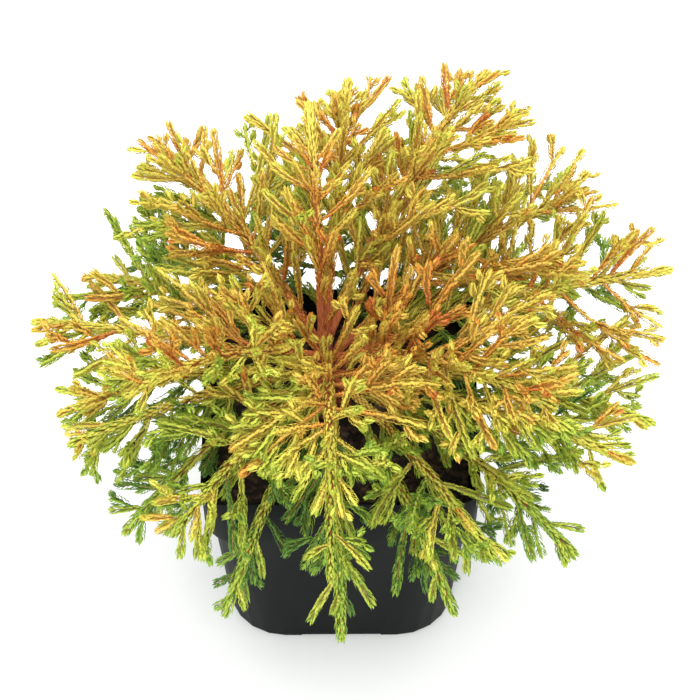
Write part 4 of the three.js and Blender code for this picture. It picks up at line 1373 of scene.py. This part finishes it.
def leaves_on(shoots, kind, settings, rng):
    """Pairs of leaves along shoots, one group for each hand, each pair turned round from the last."""
    first, spacing, slack, sun_shift, foot_size, turned = CLOTHING[kind]
    lengths = shoots.lengths()
    spaces = lengths * (1 - first) / (settings.pairs_apart * spacing)
    counts = np.maximum(2, np.round(spaces)).astype(int)
    rows, number = numbered(counts)
    share = first + (number + FIRST_PAIR) / counts[rows] * (1 - first)
    middle = shoots.at(rows, share)
    along = shoots.way(rows, share)
    side, up = shoots.across(rows, share)
    radius = shoots.radius[rows] * (1 - SHOOT_THINS * share)

    # How much sun the leaves have: more at the feet, where they are old, and at the tips in the shade
    place_sun = shoots.sun[rows]
    shade = 1 - smooth_step(place_sun, *SHADE_TO_SUN)
    scorched = (rng.random(len(shoots)) < SCORCHED_TIPS)[rows] & (place_sun > SCORCHED_SUN)
    foot_shift = sun_shift * (1 - SHADE_EVENS_FOOT * shade)
    sun = place_sun + mix(foot_shift, SHADED_TIP_SUN * shade - TIP_SHADE, share)
    sun = sun + SCORCH * scorched * smooth_step(share, SCORCHED_FROM, 1)

    # How large they are and how far they stand off
    grown = mix(foot_size, 1, smooth_step(share, 0, LEAVES_FULL_FROM))
    to_tip = (1 - share) * lengths[rows]
    usual_size = mix(SHORTEST_LEAF, 1, smooth_step(to_tip, 0, LEAVES_SHRINK_OVER)) * grown
    usual_lay = LEAF_STANDS_OFF * grown + slack * (1 + shade) + SHADED_LEAF_STANDS_OFF_MORE * shade
    groups = []
    for hand in (0, math.pi):
        turn = number * turned + hand + rng.normal(0, LEAF_TURN_SCATTER, len(rows))
        out = side * column(np.cos(turn)) + up * column(np.sin(turn))
        lay = np.radians(usual_lay + rng.normal(0, LEAF_LAY_SCATTER, len(rows)))
        way = along * column(np.cos(lay)) + out * column(np.sin(lay))
        size = usual_size * rng.uniform(*LEAF_SIZES, len(rows))
        groups.append({
            "base": middle + out * column(radius * ROOTED_AT),
            "way": way,
            "out": unit(out - way * column((out * way).sum(1))),
            "length": settings.length * size,
            "width": settings.width * mix(NARROWEST_LEAF, 1, size),
            "sun": sun + rng.normal(0, LEAF_SUN_SCATTER, len(rows)),
        })
    return groups


def plant_leaves(plant, settings):
    """All the leaves: green and gold on young shoots, smaller and rusty on the feet of the old ones."""
    rng = np.random.default_rng(LEAF_SEED)
    limbs = grow_limbs().shoots.rows(slice(None))
    limbs.sun = sunlight(limbs.tip)
    shoots = {"limbs": limbs, **plant}
    groups = [group for kind in CLOTHING for group in leaves_on(shoots[kind], kind, settings, rng)]
    return {name: np.concatenate([group[name] for group in groups]) for name in groups[0]}


def leaf_mesh(leaves, thickness):
    """Awl-shaped leaves of six triangles: a root, a keeled waist of three points and a sharp tip."""
    base, way, out = leaves["base"], leaves["way"], leaves["out"]
    length = column(leaves["length"])
    half = np.cross(way, out) * column(leaves["width"]) / 2
    waist = base + way * length * WAIST_AT + out * length * WAIST_BULGE
    keel = waist + out * thickness * KEEL_OUTSIDE
    inner = out * thickness * KEEL_INSIDE
    tip = base + way * length - out * length * TIP_DROP
    corners = np.stack([base, waist - half - inner, waist + half - inner, keel, tip], 1)
    pattern = np.array([[0, 3, 1], [0, 2, 3], [0, 1, 2], [4, 1, 3], [4, 3, 2], [4, 2, 1]])
    slots = np.tile([0, 0, 0, 1, 1, 1], len(base))
    return corners.reshape(-1, 3), copies_of(pattern, corners.shape[1], len(base)), slots


def add_floor(color):
    """A broad pale floor with a faint gloss."""
    bpy.ops.object.select_all(action="DESELECT")
    bpy.ops.mesh.primitive_plane_add(size=FLOOR_WIDTH)
    floor = bpy.context.active_object
    floor.name = "floor"
    material, shader = new_material("floor_pale", color, roughness=0.34, gloss=0.3)
    cloud = add_noise(material, "Object", scale=6, detail=3)
    roughness_by(material, shader, cloud, least=0.3, most=0.4)
    floor.data.materials.append(material)


def add_area_light(name, place, size, color, power):
    bpy.ops.object.light_add(type="AREA", location=place)
    light = bpy.context.active_object
    light.name = name
    light.data.shape = "DISK"
    light.data.size = size
    light.data.energy = power
    light.data.color = color
    light.rotation_euler = (Vector(LIGHTS_AIM) - Vector(place)).to_track_quat("-Z", "Y").to_euler()


def add_lights(settings):
    """Even light from all sides, a large softbox overhead and a weaker one from the front."""
    world = bpy.data.worlds.new("studio")
    world.use_nodes = True
    background = world.node_tree.nodes["Background"]
    background.inputs["Color"].default_value = (1, 1, 1, 1)
    background.inputs["Strength"].default_value = settings.sky
    bpy.context.scene.world = world
    for power, light in LIGHTS.items():
        add_area_light(*light, getattr(settings, power))


def add_camera(settings):
    """The photograph's camera: from the front, looking down on the crown."""
    elevation = settings.elevation
    into = Vector((0, math.cos(elevation), -math.sin(elevation)))
    upward = Vector((0, math.sin(elevation), math.cos(elevation)))
    rim_middle = Vector((0, 0, POT_HEIGHT))
    place = rim_middle - into * settings.distance
    aim = rim_middle + Vector((LOOKS_RIGHT, 0, 0)) + upward * LOOKS_UP
    bpy.ops.object.camera_add(location=place)
    camera = bpy.context.active_object
    camera.name = "camera"
    camera.data.sensor_width = SENSOR_WIDTH
    camera.data.lens = LENS
    camera.rotation_euler = (aim - place).to_track_quat("-Z", "Y").to_euler()
    bpy.context.scene.camera = camera


class ARBORVITAE_PT_parts(Panel):
    """The pieces of the potted arborvitae, and the sizes and colours that they take"""

    bl_idname = "ARBORVITAE_PT_parts"
    bl_label = "Potted arborvitae"
    bl_space_type = "VIEW_3D"
    bl_region_type = "UI"
    bl_category = "Arborvitae"

    def draw(self, context):
        layout = self.layout
        for operator in OPERATORS:
            layout.operator(operator.bl_idname)
        for name, group in SETTINGS.items():
            layout.label(text=group.__doc__)
            for setting in group.__annotations__:
                layout.prop(getattr(context.scene, name), setting)


OPERATORS = [
    ARBORVITAE_OT_stage,
    ARBORVITAE_OT_pot,
    ARBORVITAE_OT_soil,
    ARBORVITAE_OT_stem,
    ARBORVITAE_OT_boughs,
    ARBORVITAE_OT_twigs,
    ARBORVITAE_OT_needles,
]
SETTINGS = {
    "arborvitae_pot": PotSettings,
    "arborvitae_growth": GrowthSettings,
    "arborvitae_bark": BarkSettings,
    "arborvitae_leaf": LeafSettings,
    "arborvitae_stage": StageSettings,
}


def register():
    for group in (*SETTINGS.values(), *OPERATORS, ARBORVITAE_PT_parts):
        bpy.utils.register_class(group)
    for name, group in SETTINGS.items():
        setattr(bpy.types.Scene, name, PointerProperty(type=group))


def unregister():
    for name in SETTINGS:
        delattr(bpy.types.Scene, name)
    for group in (ARBORVITAE_PT_parts, *reversed(OPERATORS), *reversed(SETTINGS.values())):
        bpy.utils.unregister_class(group)


def main():
    register()
    bpy.ops.arborvitae.stage()
    bpy.ops.arborvitae.pot()
    bpy.ops.arborvitae.soil()
    bpy.ops.arborvitae.stem()
    bpy.ops.arborvitae.boughs()
    bpy.ops.arborvitae.twigs()
    bpy.ops.arborvitae.needles()


if __name__ == "__main__":
    main()
